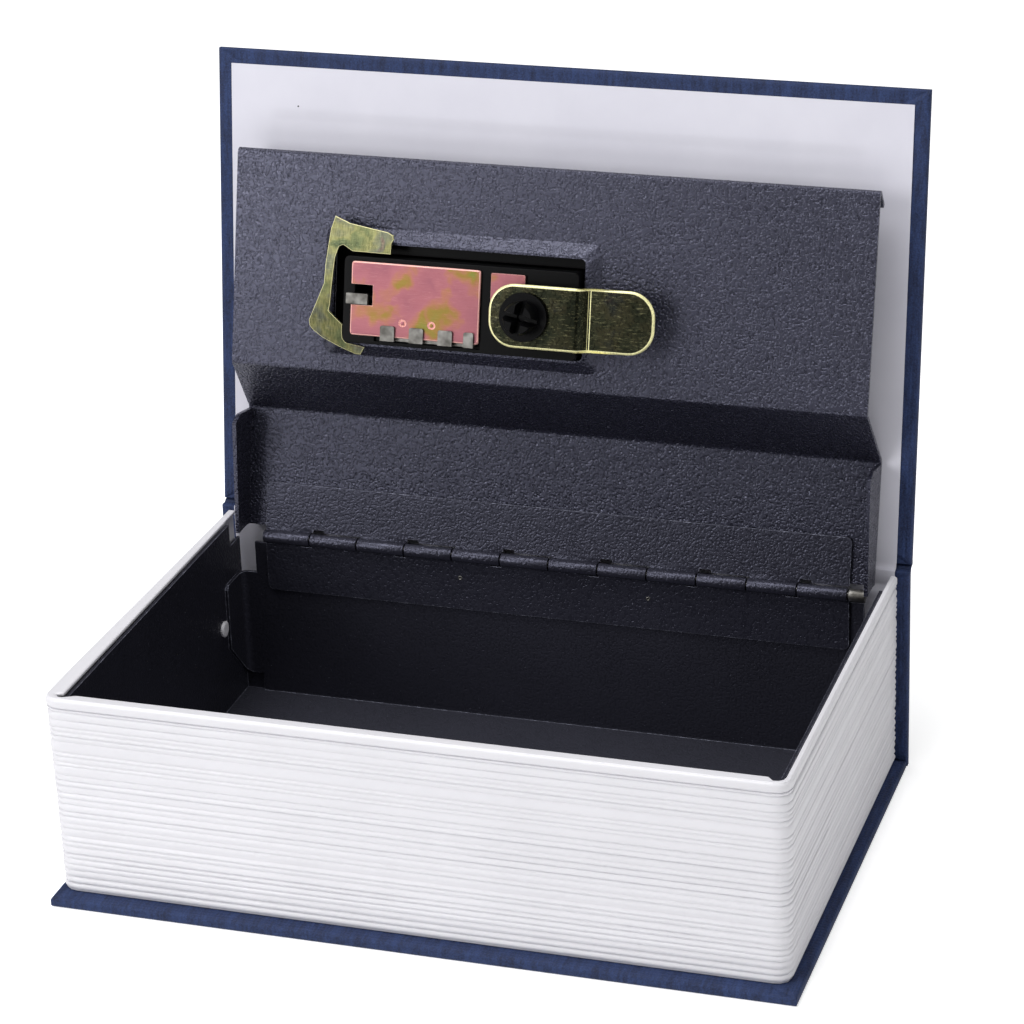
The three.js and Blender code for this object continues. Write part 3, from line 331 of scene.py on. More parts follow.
@dataclass(frozen=True)
class BuckramCloth(Finish):
    """Starch-filled cotton book cloth: a fine weave with fuzzy cross threads, and a soft sheen."""

    thread_mm: float = 0.45
    streak_mm: float = 1.3
    # A wave of scale 0.314 repeats once in a metre; with half of that it spans two threads
    wave: float = 0.16

    def pattern(self, coating: Coating) -> None:
        """Weaves threads along x and across it, and streaks the dye.

        Args:
            coating: The material's node tree.
        """
        # The real threads are 0.25 mm apart and are drawn coarser, so that they show
        threads = {"Scale": self.wave / (self.thread_mm * MM), "Distortion": 1.6, "Detail": 2.0,
                   "Detail Scale": 3.0}
        warp = coating.add(Kind.THREADS, {**threads, "Vector": coating.place},
                           bands_direction="X")
        turned = coating.add(Kind.PLACE, {
            "Vector": coating.place, "Rotation": (math.radians(45), 0.0, 0.0)})
        weft = coating.add(Kind.THREADS, {**threads, "Vector": turned}, bands_direction="Y")
        weave = coating.add(Kind.MULTIPLY, (warp.outputs["Fac"], weft.outputs["Fac"]))
        streaks = coating.spots(self.streak_mm, 4.0, 0.65, stretch=(1.0, 0.18, 0.18))
        fuzz = coating.spots(0.35, 2.0)
        blend = coating.add(Kind.MIX, {"Factor": 0.45, NUMBER_A: streaks, NUMBER_B: fuzz})
        middle = coating.add(Kind.MAP_RANGE, {
            "Value": blend, "From Min": 0.36, "From Max": 0.64})
        colour = coating.add(Kind.RAMP, (middle,), [(0.0, self.dark), (1.0, self.light)])
        coating.feed(coating.shader, {
            "Sheen Weight": 0.08, "Sheen Roughness": 0.45, "Sheen Tint": srgb("#8fa3d2"),
            "Specular IOR Level": 0.35})
        self.surface(coating, colour, streaks, [(streaks, 0.12), (weave, 0.07), (fuzz, 0.06)])


@dataclass(frozen=True)
class OffsetPaper(Finish):
    """Smooth uncoated endpaper: faintly cloudy, with a few dark specks from the press."""

    speck: str = "#2b2a33"
    speck_pitch_mm: float = 17.0
    speck_size: float = 0.022
    speck_share: float = 0.45

    def pattern(self, coating: Coating) -> None:
        """Clouds the paper and strews specks.

        Args:
            coating: The material's node tree.
        """
        cloud = coating.spots(26.0, 4.0)
        fibre = coating.spots(0.6)
        colour = coating.add(Kind.RAMP, (cloud,), [(0.3, self.dark), (0.7, self.light)])
        cells = coating.add(Kind.CELLS, {
            "Vector": coating.place, "Scale": 1 / (self.speck_pitch_mm * MM)})
        dot = coating.add(Kind.LESS, (cells, self.speck_size))
        draw = coating.add(Kind.CHANNELS, {"Color": cells.outputs["Color"]})
        drawn = coating.add(Kind.GREATER, (draw, self.speck_share))
        speck = coating.add(Kind.MULTIPLY, (dot, drawn))
        mixed = coating.add(Kind.MIX, {
            "Factor": speck, COLOUR_A: colour, COLOUR_B: srgb(self.speck)}, data_type="RGBA")
        self.surface(coating, mixed, cloud, [(cloud, 0.25), (fibre, 0.02)])


@dataclass(frozen=True)
class MouldedPlastic(Finish):
    """Injection-moulded plastic: an even colour with faint flow marks under a smooth skin."""

    flow_mm: float = 18.0
    skin_mm: float = 0.5
    coat: float = 0.0
    specular: float = 0.5

    def pattern(self, coating: Coating) -> None:
        """Adds flow marks and a slight skin texture.

        Args:
            coating: The material's node tree.
        """
        flow = coating.spots(self.flow_mm)
        skin = coating.spots(self.skin_mm, 2.0)
        colour = coating.add(Kind.RAMP, (flow,), [(0.3, self.dark), (0.7, self.light)])
        coating.feed(coating.shader, {
            "IOR": 1.49, "Specular IOR Level": self.specular, "Coat Weight": self.coat,
            "Coat Roughness": 0.2})
        self.surface(coating, colour, skin, [(skin, 0.002)])


@dataclass(frozen=True)
class PowderCoat(Finish):
    """Baked powder coat: a hard skin with orange peel, pits and pale worn high spots."""

    peel_mm: float = 0.62
    pit_mm: float = 1.3
    peel_height: float = 0.05
    # The pale colour of flecks and chips, and also of the painted edge highlight and the painted
    # floor light
    fleck: str = "#8d8f9e"
    sheen: str = "#dadcfb"
    specular: float = 0.5
    fleck_share: float = 0.72
    # Share of the pale colour on every rounded edge: a painted highlight
    edge_highlight: float = 0.3
    chip_share: float = 0.7
    # Height, fade and share of the painted light on the lowest strip, where the floor faces the
    # lamp above
    painted_floor_light_mm: float = 0.0
    painted_floor_light_fade_mm: float = 0.35
    painted_floor_light_share: float = 0.06

    def pattern(self, coating: Coating) -> None:
        """Adds orange peel, pits, pale flecks and chips, a painted highlight on rounded edges, and
        painted light on the lowest strip where asked.

        Args:
            coating: The material's node tree.
        """
        # Worm-shaped swellings with steep sides, as hammer paint draws together when it bakes
        peel = coating.add(Kind.MAP_RANGE, {
            "Value": coating.spots(self.peel_mm, 1.0, 0.4), "From Min": 0.36, "From Max": 0.56},
            interpolation_type="SMOOTHSTEP")
        cells = coating.add(Kind.CELLS, {
            "Vector": coating.place, "Scale": 1 / (self.pit_mm * MM)})
        pits = coating.add(Kind.MAP_RANGE, {
            "Value": cells, "From Min": 0.08, "From Max": 0.34}, interpolation_type="SMOOTHSTEP")
        tone = coating.add(Kind.MIX, {
            "Factor": 0.2, NUMBER_A: coating.spots(35.0),
            NUMBER_B: coating.add(Kind.MULTIPLY, (peel, pits))})
        tone = coating.add(Kind.MAP_RANGE, {"Value": tone, "From Min": 0.2, "From Max": 0.8})
        colour = coating.add(Kind.RAMP, (tone,), [(0.0, self.dark), (1.0, self.light)])
        mixed = coating.add(Kind.MIX, {
            "Factor": self.wear_and_painted_light(coating), COLOUR_A: colour, COLOUR_B: srgb(self.fleck)},
            data_type="RGBA")
        coating.feed(coating.shader, {
            "Specular Tint": srgb(self.sheen), "Specular IOR Level": self.specular})
        self.surface(coating, mixed, peel, [(peel, self.peel_height),
                                            (pits, self.peel_height * 0.8)])

    def wear_and_painted_light(self, coating: Coating) -> bpy.types.Node:
        """Works out where the colour is paler: worn flecks and chips, a painted highlight on all
        rounded edges, and painted light on the lowest strip.

        Args:
            coating: The material's node tree.

        Returns:
            The node that gives the share of the pale colour.
        """
        fleck = coating.spots(0.55, 2.0, 0.7, cut=(self.fleck_share, self.fleck_share + 0.08))
        thin = coating.add(Kind.ATTRIBUTE, attribute_name="edge").outputs["Fac"]
        chips = coating.spots(1.6, 3.0, 0.7, cut=(0.5, 0.62))
        chips = coating.add(Kind.MULTIPLY, (thin, chips))
        chips = coating.add(Kind.MULTIPLY, (chips, self.chip_share))
        # thin marks every rounded edge. Making them all paler is a painted highlight; only the
        # chips on them are wear
        bare = coating.add(Kind.MULTIPLY_ADD, (thin, self.edge_highlight, chips))
        share = coating.add(Kind.MAXIMUM, (fleck, bare))
        # The strip just above the floor is paler: painted light, because the floor faces the lamp
        # above
        if self.painted_floor_light_mm:
            height = coating.add(Kind.SPLIT_XYZ, {"Vector": coating.place}).outputs["Z"]
            low = coating.add(Kind.MAP_RANGE, {
                "Value": height, "From Min": (self.painted_floor_light_mm + self.painted_floor_light_fade_mm) * MM,
                "From Max": self.painted_floor_light_mm * MM, "To Max": self.painted_floor_light_share})
            share = coating.add(Kind.MAXIMUM, (share, low))
        return share


@dataclass(frozen=True)
class BrightSteel(Finish):
    """Drawn or stamped steel: fine scratches along x over a bright ground."""

    scratch_mm: float = 0.25

    def pattern(self, coating: Coating) -> None:
        """Draws long scratches and faint stains.

        Args:
            coating: The material's node tree.
        """
        scratch = coating.spots(self.scratch_mm, 3.0, 0.7, stretch=(0.06, 1.0, 1.0))
        stain = coating.spots(3.0, 2.0)
        colour = coating.add(Kind.RAMP, (stain,), [(0.35, self.dark), (0.65, self.light)])
        coating.feed(coating.shader, {"Metallic": 1.0})
        self.surface(coating, colour, scratch, [(scratch, 0.015)])


@dataclass(frozen=True)
class ChromatedZinc(Finish):
    """Zinc plate with an iridescent chromate film, whose colour drifts as the film's depth does."""

    stops: tuple[tuple[float, str], ...] = ()
    drift_mm: float = 9.0
    # Colour of the scratches and of the painted highlight on the rims
    scratch_and_rim_highlight: str = "#f4efb4"
    brushing: Point = (0.12, 1.0, 1.0)
    wear: float = 0.2
    scratches: float = 0.1

    def pattern(self, coating: Coating) -> None:
        """Lets the film's colour drift in soft patches, brushes and scratches it, and paints a
        highlight on its rims.

        Args:
            coating: The material's node tree.
        """
        warp = coating.add(Kind.CLOUDS, {
            "Vector": coating.place, "Scale": 1 / (self.drift_mm * 0.5 * MM), "Detail": 2.0})
        shifted = coating.add(Kind.SHIFT, (
            warp.outputs["Color"], (self.drift_mm * MM * 0.7,) * 3, coating.place))
        film = coating.add(Kind.CLOUDS, {
            "Vector": shifted, "Scale": 1 / (self.drift_mm * MM), "Detail": 2.5,
            "Roughness": 0.45})
        wide = coating.add(Kind.MAP_RANGE, {"Value": film, "From Min": 0.28, "From Max": 0.72})
        grain = coating.spots(0.4, 3.0, 0.7, stretch=self.brushing)
        colour = coating.add(Kind.RAMP, (wide,), self.stops)
        worn = coating.add(Kind.RAMP, (grain,), [(0.3, self.dark), (0.6, self.light)])
        dull = coating.add(Kind.MIX, {"Factor": self.wear, COLOUR_A: colour, COLOUR_B: worn},
                           data_type="RGBA", blend_type="MULTIPLY")
        scratch = coating.spots(0.3, 3.0, 0.75, stretch=(0.13, 1.0, 1.0), turn=(0.0, 0.7, 0.0),
                                cut=(0.56, 0.68), **{"To Max": self.scratches})
        thin = coating.add(Kind.ATTRIBUTE, attribute_name="edge").outputs["Fac"]
        wear_and_painted_light = coating.add(Kind.MIX, {
            "Factor": coating.add(Kind.MAXIMUM, (thin, scratch)), COLOUR_A: dull,
            COLOUR_B: srgb(self.scratch_and_rim_highlight)}, data_type="RGBA")
        # The rims get a painted highlight: a pale colour that scatters light instead of mirroring
        # it
        metal = coating.add(Kind.MULTIPLY_ADD, (thin, -0.75, 1.0))
        coating.feed(coating.shader, {"Metallic": metal})
        self.surface(coating, wear_and_painted_light, grain, [(film, 0.16), (grain, 0.012)])


def finishes() -> dict[Enum, bpy.types.Material]:
    """Makes one material for each slot of the record, and one for the latch, darkened by a painted
    dark reflection.

    Returns:
        The material of each slot and look.
    """
    made = {
        # Woven cotton filled with starch: deep navy, matt, with paler threads across it
        Slot.BOOK_CLOTH: BuckramCloth("navy_book_cloth", "#2b3c66", "#111a36", 0.62, 0.82, 0.9),
        # The same cloth, darker: painted shade in the creases of the joints
        Slot.JOINT_CLOTH: BuckramCloth("navy_joint_cloth_painted_crease_shade", "#25345a", "#0f1730", 0.62, 0.82, 0.8),
        # Uncoated offset paper: flat, cool white, without gloss
        Slot.ENDPAPER: OffsetPaper("offset_endpaper", "#d6d5df", "#cdccd7", 0.55, 0.7, 0.35),
        # Injection-moulded polystyrene: milky white with a soft gloss on each leaf
        Slot.PAGE_PLASTIC: MouldedPlastic("white_polystyrene", "#dcdbe0", "#d8d7dc", 0.3, 0.4,
                                          0.3, coat=0.1),
        # Fine-texture polyester powder: near black, dull, with a painted highlight at the folds and
        # painted light on the floor
        Slot.BOX_PAINT: PowderCoat("black_texture_powder_coat", "#26262e", "#1b1b21", 0.36, 0.5,
                                   0.8, painted_floor_light_mm=3.6),
        # Hammer-texture powder: dark, with a bluish sheen that breaks up on its small swellings
        Slot.LID_PAINT: PowderCoat("grey_hammer_powder_coat", "#252530", "#181821", 0.24, 0.31,
                                   1.0, pit_mm=1.25, peel_height=0.11, specular=1.0),
        # The same powder on the thin hinge: smoother, with soft highlights on the knuckles
        Slot.HINGE_PAINT: PowderCoat("hinge_satin_powder_coat", "#292932", "#1e1e26", 0.28, 0.38,
                                     0.8, peel_height=0.06, edge_highlight=0.16, specular=0.75),
        # Cold-drawn spring steel: mid grey with lengthwise scratches
        Slot.BARE_STEEL: BrightSteel("drawn_spring_steel", "#95938f", "#5b5955", 0.4, 0.55, 0.4),
        # Moulded ABS: black, satin, with next to no colour of its own
        Slot.BLACK_PLASTIC: MouldedPlastic("black_abs", "#08080a", "#050506", 0.3, 0.42, 0.4,
                                           flow_mm=8.0, specular=0.1),
        # Zinc with a thick chromate film: rose, with patches of gold and green
        Slot.PINK_ZINC: ChromatedZinc("rose_chromated_zinc", "#ffffff", "#c9a9a8", 0.4, 0.55,
                                      0.35, stops=((0.0, "#96606b"), (0.5, "#a66b72"),
                                                   (0.66, "#a87360"), (0.82, "#957b42"),
                                                   (1.0, "#7f8442")), scratch_and_rim_highlight="#f0b5ac"),
        # Zinc with a thin chromate film: olive, brushed, with a painted highlight on its pale rims
        Slot.YELLOW_ZINC: ChromatedZinc("green_chromated_zinc", "#ffffff", "#3f4031", 0.28, 0.42,
                                        0.5, stops=((0.0, "#3f4a38"), (0.3, "#626849"),
                                                    (0.55, "#7f7d54"), (0.8, "#646758"),
                                                    (1.0, "#7a5a57")), drift_mm=7.0,
                                        brushing=(1.0, 0.2, 0.2), wear=0.6),
        # The same zinc on the latch: darker, a painted reflection of the dark surroundings, with
        # slanting scratches
        Look.DARK_REFLECTION_ZINC: ChromatedZinc("chromated_zinc_painted_dark_reflection", "#ffffff", "#4a4b40", 0.2, 0.36,
                                         0.6, stops=((0.0, "#262a22"), (0.4, "#383a2d"),
                                                     (0.6, "#434131"), (0.85, "#353733"),
                                                     (1.0, "#453231")), drift_mm=6.0,
                                         brushing=(0.8, 0.5, 0.5), wear=0.5, scratches=0.2),
    }
    return {slot: finish.build() for slot, finish in made.items()}


def smoothstep(share: float) -> float:
    """Eases a share between 0 and 1.

    Args:
        share: Any number; it is held between 0 and 1.

    Returns:
        The eased share.
    """
    held = min(1.0, max(0.0, share))
    return held * held * (3 - 2 * held)


def arc(x: float, y: float, radius: float, start: float, end: float,
        steps: int = 8) -> list[tuple[float, float]]:
    """Lists points on an arc.

    Args:
        x: Middle of the arc.
        y: Middle of the arc.
        radius: Its radius.
        start: First angle in degrees.
        end: Last angle in degrees.
        steps: Number of parts.

    Returns:
        Points from the first angle to the last.
    """
    turns = [math.radians(start + (end - start) * i / steps) for i in range(steps + 1)]
    return [(x + radius * math.cos(t), y + radius * math.sin(t)) for t in turns]


def linked(name: str, data: bpy.types.ID) -> bpy.types.Object:
    """Makes an object of some data and puts it into the scene.

    Args:
        name: Name of the object.
        data: Its mesh, text, camera or lamp.

    Returns:
        The new object.
    """
    obj = bpy.data.objects.new(name, data)
    bpy.context.scene.collection.objects.link(obj)
    return obj


def finish_mesh(obj: bpy.types.Object, angle: float = 32.0) -> bpy.types.Object:
    """Smooths an object's shading across flat angles and keeps its sharp edges.

    Args:
        obj: Mesh object.
        angle: Edges turned by more than this many degrees stay sharp.

    Returns:
        The same object.
    """
    mesh = obj.data
    mesh.polygons.foreach_set("use_smooth", [True] * len(mesh.polygons))
    mesh.set_sharp_from_angle(angle=math.radians(angle))
    return obj


def mesh_object(name: str, points: Sequence[Sequence[float]],
                faces: Sequence[Sequence[int]]) -> bpy.types.Object:
    """Makes a mesh object with outward faces at the origin.

    Args:
        name: Name of the piece.
        points: Vertices in metres, in the safe's own frame.
        faces: Vertex numbers of each face.

    Returns:
        The new object.
    """
    mesh = bpy.data.meshes.new(name)
    mesh.from_pydata([tuple(map(float, p)) for p in points], [], [tuple(f) for f in faces])
    shape = bmesh.new()
    shape.from_mesh(mesh)
    bmesh.ops.remove_doubles(shape, verts=shape.verts, dist=1e-7)
    bmesh.ops.recalc_face_normals(shape, faces=shape.faces)
    shape.to_mesh(mesh)
    shape.free()
    return linked(name, mesh)


def plain_mesh(obj: bpy.types.Object) -> bpy.types.Object:
    """Turns an object and its modifiers into one plain mesh.

    Args:
        obj: Object with live modifiers.

    Returns:
        The same object with its final mesh and no modifiers.
    """
    graph = bpy.context.evaluated_depsgraph_get()
    graph.update()
    final = bpy.data.meshes.new_from_object(obj.evaluated_get(graph))
    obj.modifiers.clear()
    obj.data = final
    final.name = obj.name
    return obj


def prism(name: str, outline: Sequence[Sequence[float]], place: Place, start: float,
          end: float) -> bpy.types.Object:
    """Extrudes a flat outline between two levels.

    Args:
        name: Name of the piece.
        outline: Corner points in the plane, in millimetres.
        place: Turns two plane coordinates and a level into a point in millimetres.
        start: First level in millimetres.
        end: Second level in millimetres.

    Returns:
        The new object.
    """
    count = len(outline)
    points = [Vector(place(a, b, level)) * MM for level in (start, end) for a, b in outline]
    faces = [list(range(count))[::-1], list(range(count, 2 * count))]
    faces += [[i, (i + 1) % count, (i + 1) % count + count, i + count] for i in range(count)]
    return mesh_object(name, points, faces)


def sheet_faces(wide: int, rows: int) -> list[list[int]]:
    """Numbers the faces of a sheet that has a grid of points on each side, and of its rim.

    Args:
        wide: Number of points across.
        rows: Number of points along.

    Returns:
        Vertex numbers of each face; the points of the second side follow those of the first.
    """
    layer = wide * rows
    faces = [[k, k + 1, k + wide + 1, k + wide] for first in (0, layer)
             for row in range(rows - 1)
             for k in range(first + row * wide, first + row * wide + wide - 1)]
    rim = list(range(wide)) + [row * wide + wide - 1 for row in range(1, rows)]
    rim += [(rows - 1) * wide + i for i in range(wide - 2, -1, -1)]
    rim += [row * wide for row in range(rows - 2, 0, -1)]
    return faces + [[a, b, b + layer, a + layer] for a, b in zip(rim, rim[1:] + rim[:1])]


def stacked_rings(name: str, rings: Sequence[tuple[float, float]], steps: int, place: Place,
                  angle: float) -> bpy.types.Object:
    """Skins a row of rings on one axis and closes both ends.

    Args:
        name: Name of the piece.
        rings: Place along the axis and radius of each ring in millimetres.
        steps: Number of points in a ring.
        place: Turns a place on the axis, a radius and an angle into a point in millimetres.
        angle: Edges turned by more than this many degrees stay sharp.

    Returns:
        The new object.
    """
    points = [Vector(place(out, radius, 2 * math.pi * step / steps)) * MM
              for out, radius in rings for step in range(steps)]
    faces = [[k * steps + i, k * steps + (i + 1) % steps, (k + 1) * steps + (i + 1) % steps,
              (k + 1) * steps + i] for k in range(len(rings) - 1) for i in range(steps)]
    faces += [list(range(steps))[::-1], list(range(len(points) - steps, len(points)))]
    return finish_mesh(mesh_object(name, points, faces), angle)


def mark_edges(obj: bpy.types.Object, width: float) -> None:
    """Marks the narrow faces of rounded edges, where the finishes paint a highlight and draw chips.

    Args:
        obj: Mesh object.
        width: Faces narrower than this, in metres, are marked.
    """
    bent, flush = 0.999, 0.9999
    mesh = obj.data
    shape = bmesh.new()
    shape.from_mesh(mesh)
    narrow = {face.index for face in shape.faces
              if face.calc_area() < max(edge.calc_length() for edge in face.edges) * width}
    marks = mesh.attributes.new("edge", "FLOAT", "FACE")
    for face in shape.faces:
        turns = [(other.index, face.normal.dot(other.normal))
                 for edge in face.edges for other in edge.link_faces]
        worn = (face.index in narrow and any(turn < bent for _, turn in turns)
                and not any(turn > flush for other, turn in turns if other not in narrow))
        marks.data[face.index].value = 1.0 if worn else 0.0
    shape.free()


def rounded(obj: bpy.types.Object, width_mm: float, segments: int = 2,
            angle: float = 32.0, held: bool = True) -> bpy.types.Object:
    """Rounds the sharp edges of an object.

    Args:
        obj: Mesh object.
        width_mm: Width of the rounding in millimetres.
        segments: Number of facets in each rounding.
        angle: Edges turned by more than this many degrees are rounded.
        held: Whether the shortest edge holds the width down.

    Returns:
        The same object with a plain mesh.
    """
    bevel = obj.modifiers.new("edge", "BEVEL")
    bevel.width = width_mm * MM
    bevel.segments = segments
    bevel.limit_method = "ANGLE"
    bevel.angle_limit = math.radians(angle)
    bevel.use_clamp_overlap = held
    plain_mesh(obj)
    # The facets of the rounding are narrower than this
    mark_edges(obj, 1.8 * width_mm / segments * MM)
    finish_mesh(obj, angle=40.0)
    weigh = obj.modifiers.new("flat_faces_stay_flat", "WEIGHTED_NORMAL")
    weigh.keep_sharp = True
    return plain_mesh(obj)


def copy_of(node: str, name: str) -> bpy.types.Object:
    """Copies a CAD node with its loose triangles merged and its flat faces joined.

    Args:
        node: Name of the CAD node.
        name: Name of the new piece.

    Returns:
        The copy, in the place of the node.
    """
    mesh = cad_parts[node].data.copy()
    mesh.name = name
    shape = bmesh.new()
    shape.from_mesh(mesh)
    # The CAD mesh has a set of corners for each triangle; faces within 0.4 degrees are one face
    bmesh.ops.remove_doubles(shape, verts=shape.verts, dist=2e-6)
    bmesh.ops.dissolve_degenerate(shape, edges=shape.edges, dist=1e-6)
    bmesh.ops.dissolve_limit(shape, angle_limit=math.radians(0.4), verts=shape.verts,
                             edges=shape.edges)
    bmesh.ops.connect_verts_concave(shape, faces=shape.faces)
    shape.to_mesh(mesh)
    shape.free()
    mesh.materials.clear()
    return linked(name, mesh)


class Workshop:
    """Hands out materials and signs each rigid piece off to its body, slot and CAD node."""

    def __init__(self, materials: dict[Enum, bpy.types.Material]) -> None:
        """Keeps the materials.

        Args:
            materials: The material of each slot, and of pieces that look different.
        """
        self.materials = materials

    def coat(self, obj: bpy.types.Object, slot: Slot,
             look: Optional[Look] = None) -> bpy.types.Object:
        """Gives a piece the finish of a slot, or a look of its own.

        Args:
            obj: The piece.
            slot: The record's material slot.
            look: A finish other than the slot's.

        Returns:
            The same piece.
        """
        obj.data.materials.clear()
        obj.data.materials.append(self.materials[look or slot])
        return obj

    def sign_off(self, obj: bpy.types.Object, body: Body, slot: Slot, *nodes: str,
                 look: Optional[Look] = None) -> bpy.types.Object:
        """Finishes a rigid piece.

        Args:
            obj: The piece.
            body: The CAD body that it rides on.
            slot: The record's material slot.
            nodes: CAD nodes that it stands for.
            look: A finish other than the slot's.

        Returns:
            The same piece.
        """
        self.coat(obj, slot, look)
        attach(obj, body.value)
        if nodes:
            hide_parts(*nodes)
        log.info("%s: %d faces on %s", obj.name, len(obj.data.polygons), body.value)
        return obj

    def bend_off(self, obj: bpy.types.Object, bodies: tuple[Body, Body], start: Point, end: Point,
                 slot: Slot, *nodes: str) -> bpy.types.Object:
        """Finishes a piece of cloth or paper that bends across a joint.

        Args:
            obj: The piece.
            bodies: The two bodies that it joins; not used.
            start: Point in metres where it would stop following the first body; not used.
            end: Point in metres where it would follow the second body; not used.
            slot: The record's material slot.
            nodes: CAD nodes that it stands for.

        Returns:
            The same piece.
        """
        self.coat(obj, slot)
        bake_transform(obj)
        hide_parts(*nodes)
        log.info("%s: %d faces, bends", obj.name, len(obj.data.polygons))
        return obj


@dataclass
class Slab:
    """A case board wrapped in cloth: a slab with round edges and slightly uneven faces."""

    width: float
    height: float
    thickness: float
    edge: float = 0.7
    step: float = 2.5
    fine: float = 0.35
    border: float = 6.6
    unevenness: float = 0.10
    fold: float = 0.6
    fold_slope: float = 0.57
    lap_width: float = 0.5
    crease_width: float = 0.3
    bunch_reach: float = 3.5
    seed: float = 0.0

    def stations(self, length: float) -> list[float]:
        """Places across one direction: dense at the round edge and along the turned-in border.

        Args:
            length: Length of the board in this direction in millimetres.

        Returns:
            Places from 0 to the length in millimetres.
        """
        near = [self.edge * (1 - math.cos(math.radians(turn))) for turn in (0, 30, 60)]
        near += [self.edge + self.fine * i for i in range(round(self.border / self.fine))]
        rest = length - 2 * (near[-1] + self.fine)
        count = max(2, round(rest / self.step))
        middle = [near[-1] + self.fine + rest * i / count for i in range(count + 1)]
        return near + middle + [length - v for v in reversed(near)]

    def build(self, name: str, place: Place) -> bpy.types.Object:
        """Makes the slab.

        Args:
            name: Name of the piece.
            place: Turns width, height and depth in millimetres into a point in millimetres.

        Returns:
            The new object.
        """
        across = [v - self.width / 2 for v in self.stations(self.width)]
        along = self.stations(self.height)
        points = [Vector(place(a, b, self.depth(a, b, side))) * MM
                  for side in (0, 1) for b in along for a in across]
        faces = sheet_faces(len(across), len(along))
        return finish_mesh(mesh_object(name, points, faces), angle=60.0)

    def folds(self, from_side: float, from_end: float) -> float:
        """Depth of the cloth round a corner fold, where one turn-in laps over the other.

        Args:
            from_side: Distance from the nearer side edge in millimetres.
            from_end: Distance from the nearer end in millimetres.

        Returns:
            Extra depth in millimetres: more on the lower lap and in the crease.
        """
        reach = math.hypot(from_side, from_end)
        if reach > self.border * 1.3:
            return 0.0
        across = from_end - self.fold_slope * from_side
        lap = 1 - smoothstep(across / self.lap_width + 0.5)
        crease = math.exp(-(across / self.crease_width) ** 2)
        pleat = noise.noise(Vector((from_side * 0.9, from_end * 1.7, self.seed))) * 0.5
        fade = 1 - smoothstep((reach - self.border * 0.9) / (self.border * 0.4))
        bunch = max(0.0, 1 - reach / self.bunch_reach)
        return fade * (self.fold * (0.6 * lap + 0.5 * crease) + 0.3 * bunch * pleat)

    def depth(self, a: float, b: float, side: int) -> float:
        """Depth of one grid point, let down towards the middle at the round edges.

        Args:
            a: Place across the width in millimetres, from the middle.
            b: Place along the height in millimetres.
            side: 0 for the inner face, 1 for the outer face.

        Returns:
            The depth in millimetres, from the inner face.
        """
        margin = min(self.width / 2 - abs(a), b, self.height - b, self.edge)
        drop = self.edge - math.sqrt(max(0.0, self.edge ** 2 - (self.edge - margin) ** 2))
        wave = noise.noise(Vector((a * 0.05, b * 0.05, self.seed + side)))
        fine = noise.noise(Vector((a * 0.4, b * 0.4, self.seed + 7 + side)))
        fade = min(1.0, max(0.0, margin / self.edge))
        drop += self.unevenness * fade * (0.5 + 0.35 * wave + 0.15 * fine)
        if side == 0:
            drop += fade * self.folds(self.width / 2 - abs(a), min(b, self.height - b))
        return drop if side == 0 else self.thickness - drop


@dataclass
class LeaningFrame:
    """Axes of a leaf that leans back: across the book, up the leaf, and a depth square to it."""

    pivot_y: float
    pivot_z: float
    lean: float
    forward: float = 1.0

    def place(self, x: float, rise: float, depth: float) -> Point:
        """Turns the leaf's own places into the safe's frame.

        Args:
            x: Place across the book in millimetres.
            rise: Distance up the leaf in millimetres.
            depth: Distance square to the leaf in millimetres.

        Returns:
            The point in millimetres.
        """
        lean = math.radians(self.lean)
        out = depth * self.forward
        return (x, self.pivot_y + rise * math.sin(lean) - out * math.cos(lean),
                self.pivot_z + rise * math.cos(lean) + out * math.sin(lean))


LID_FRAME = LeaningFrame(51.5, 48.6, 14.0)
COVER_FRAME = LeaningFrame(59.3, 53.8, 8.0, forward=-1.0)


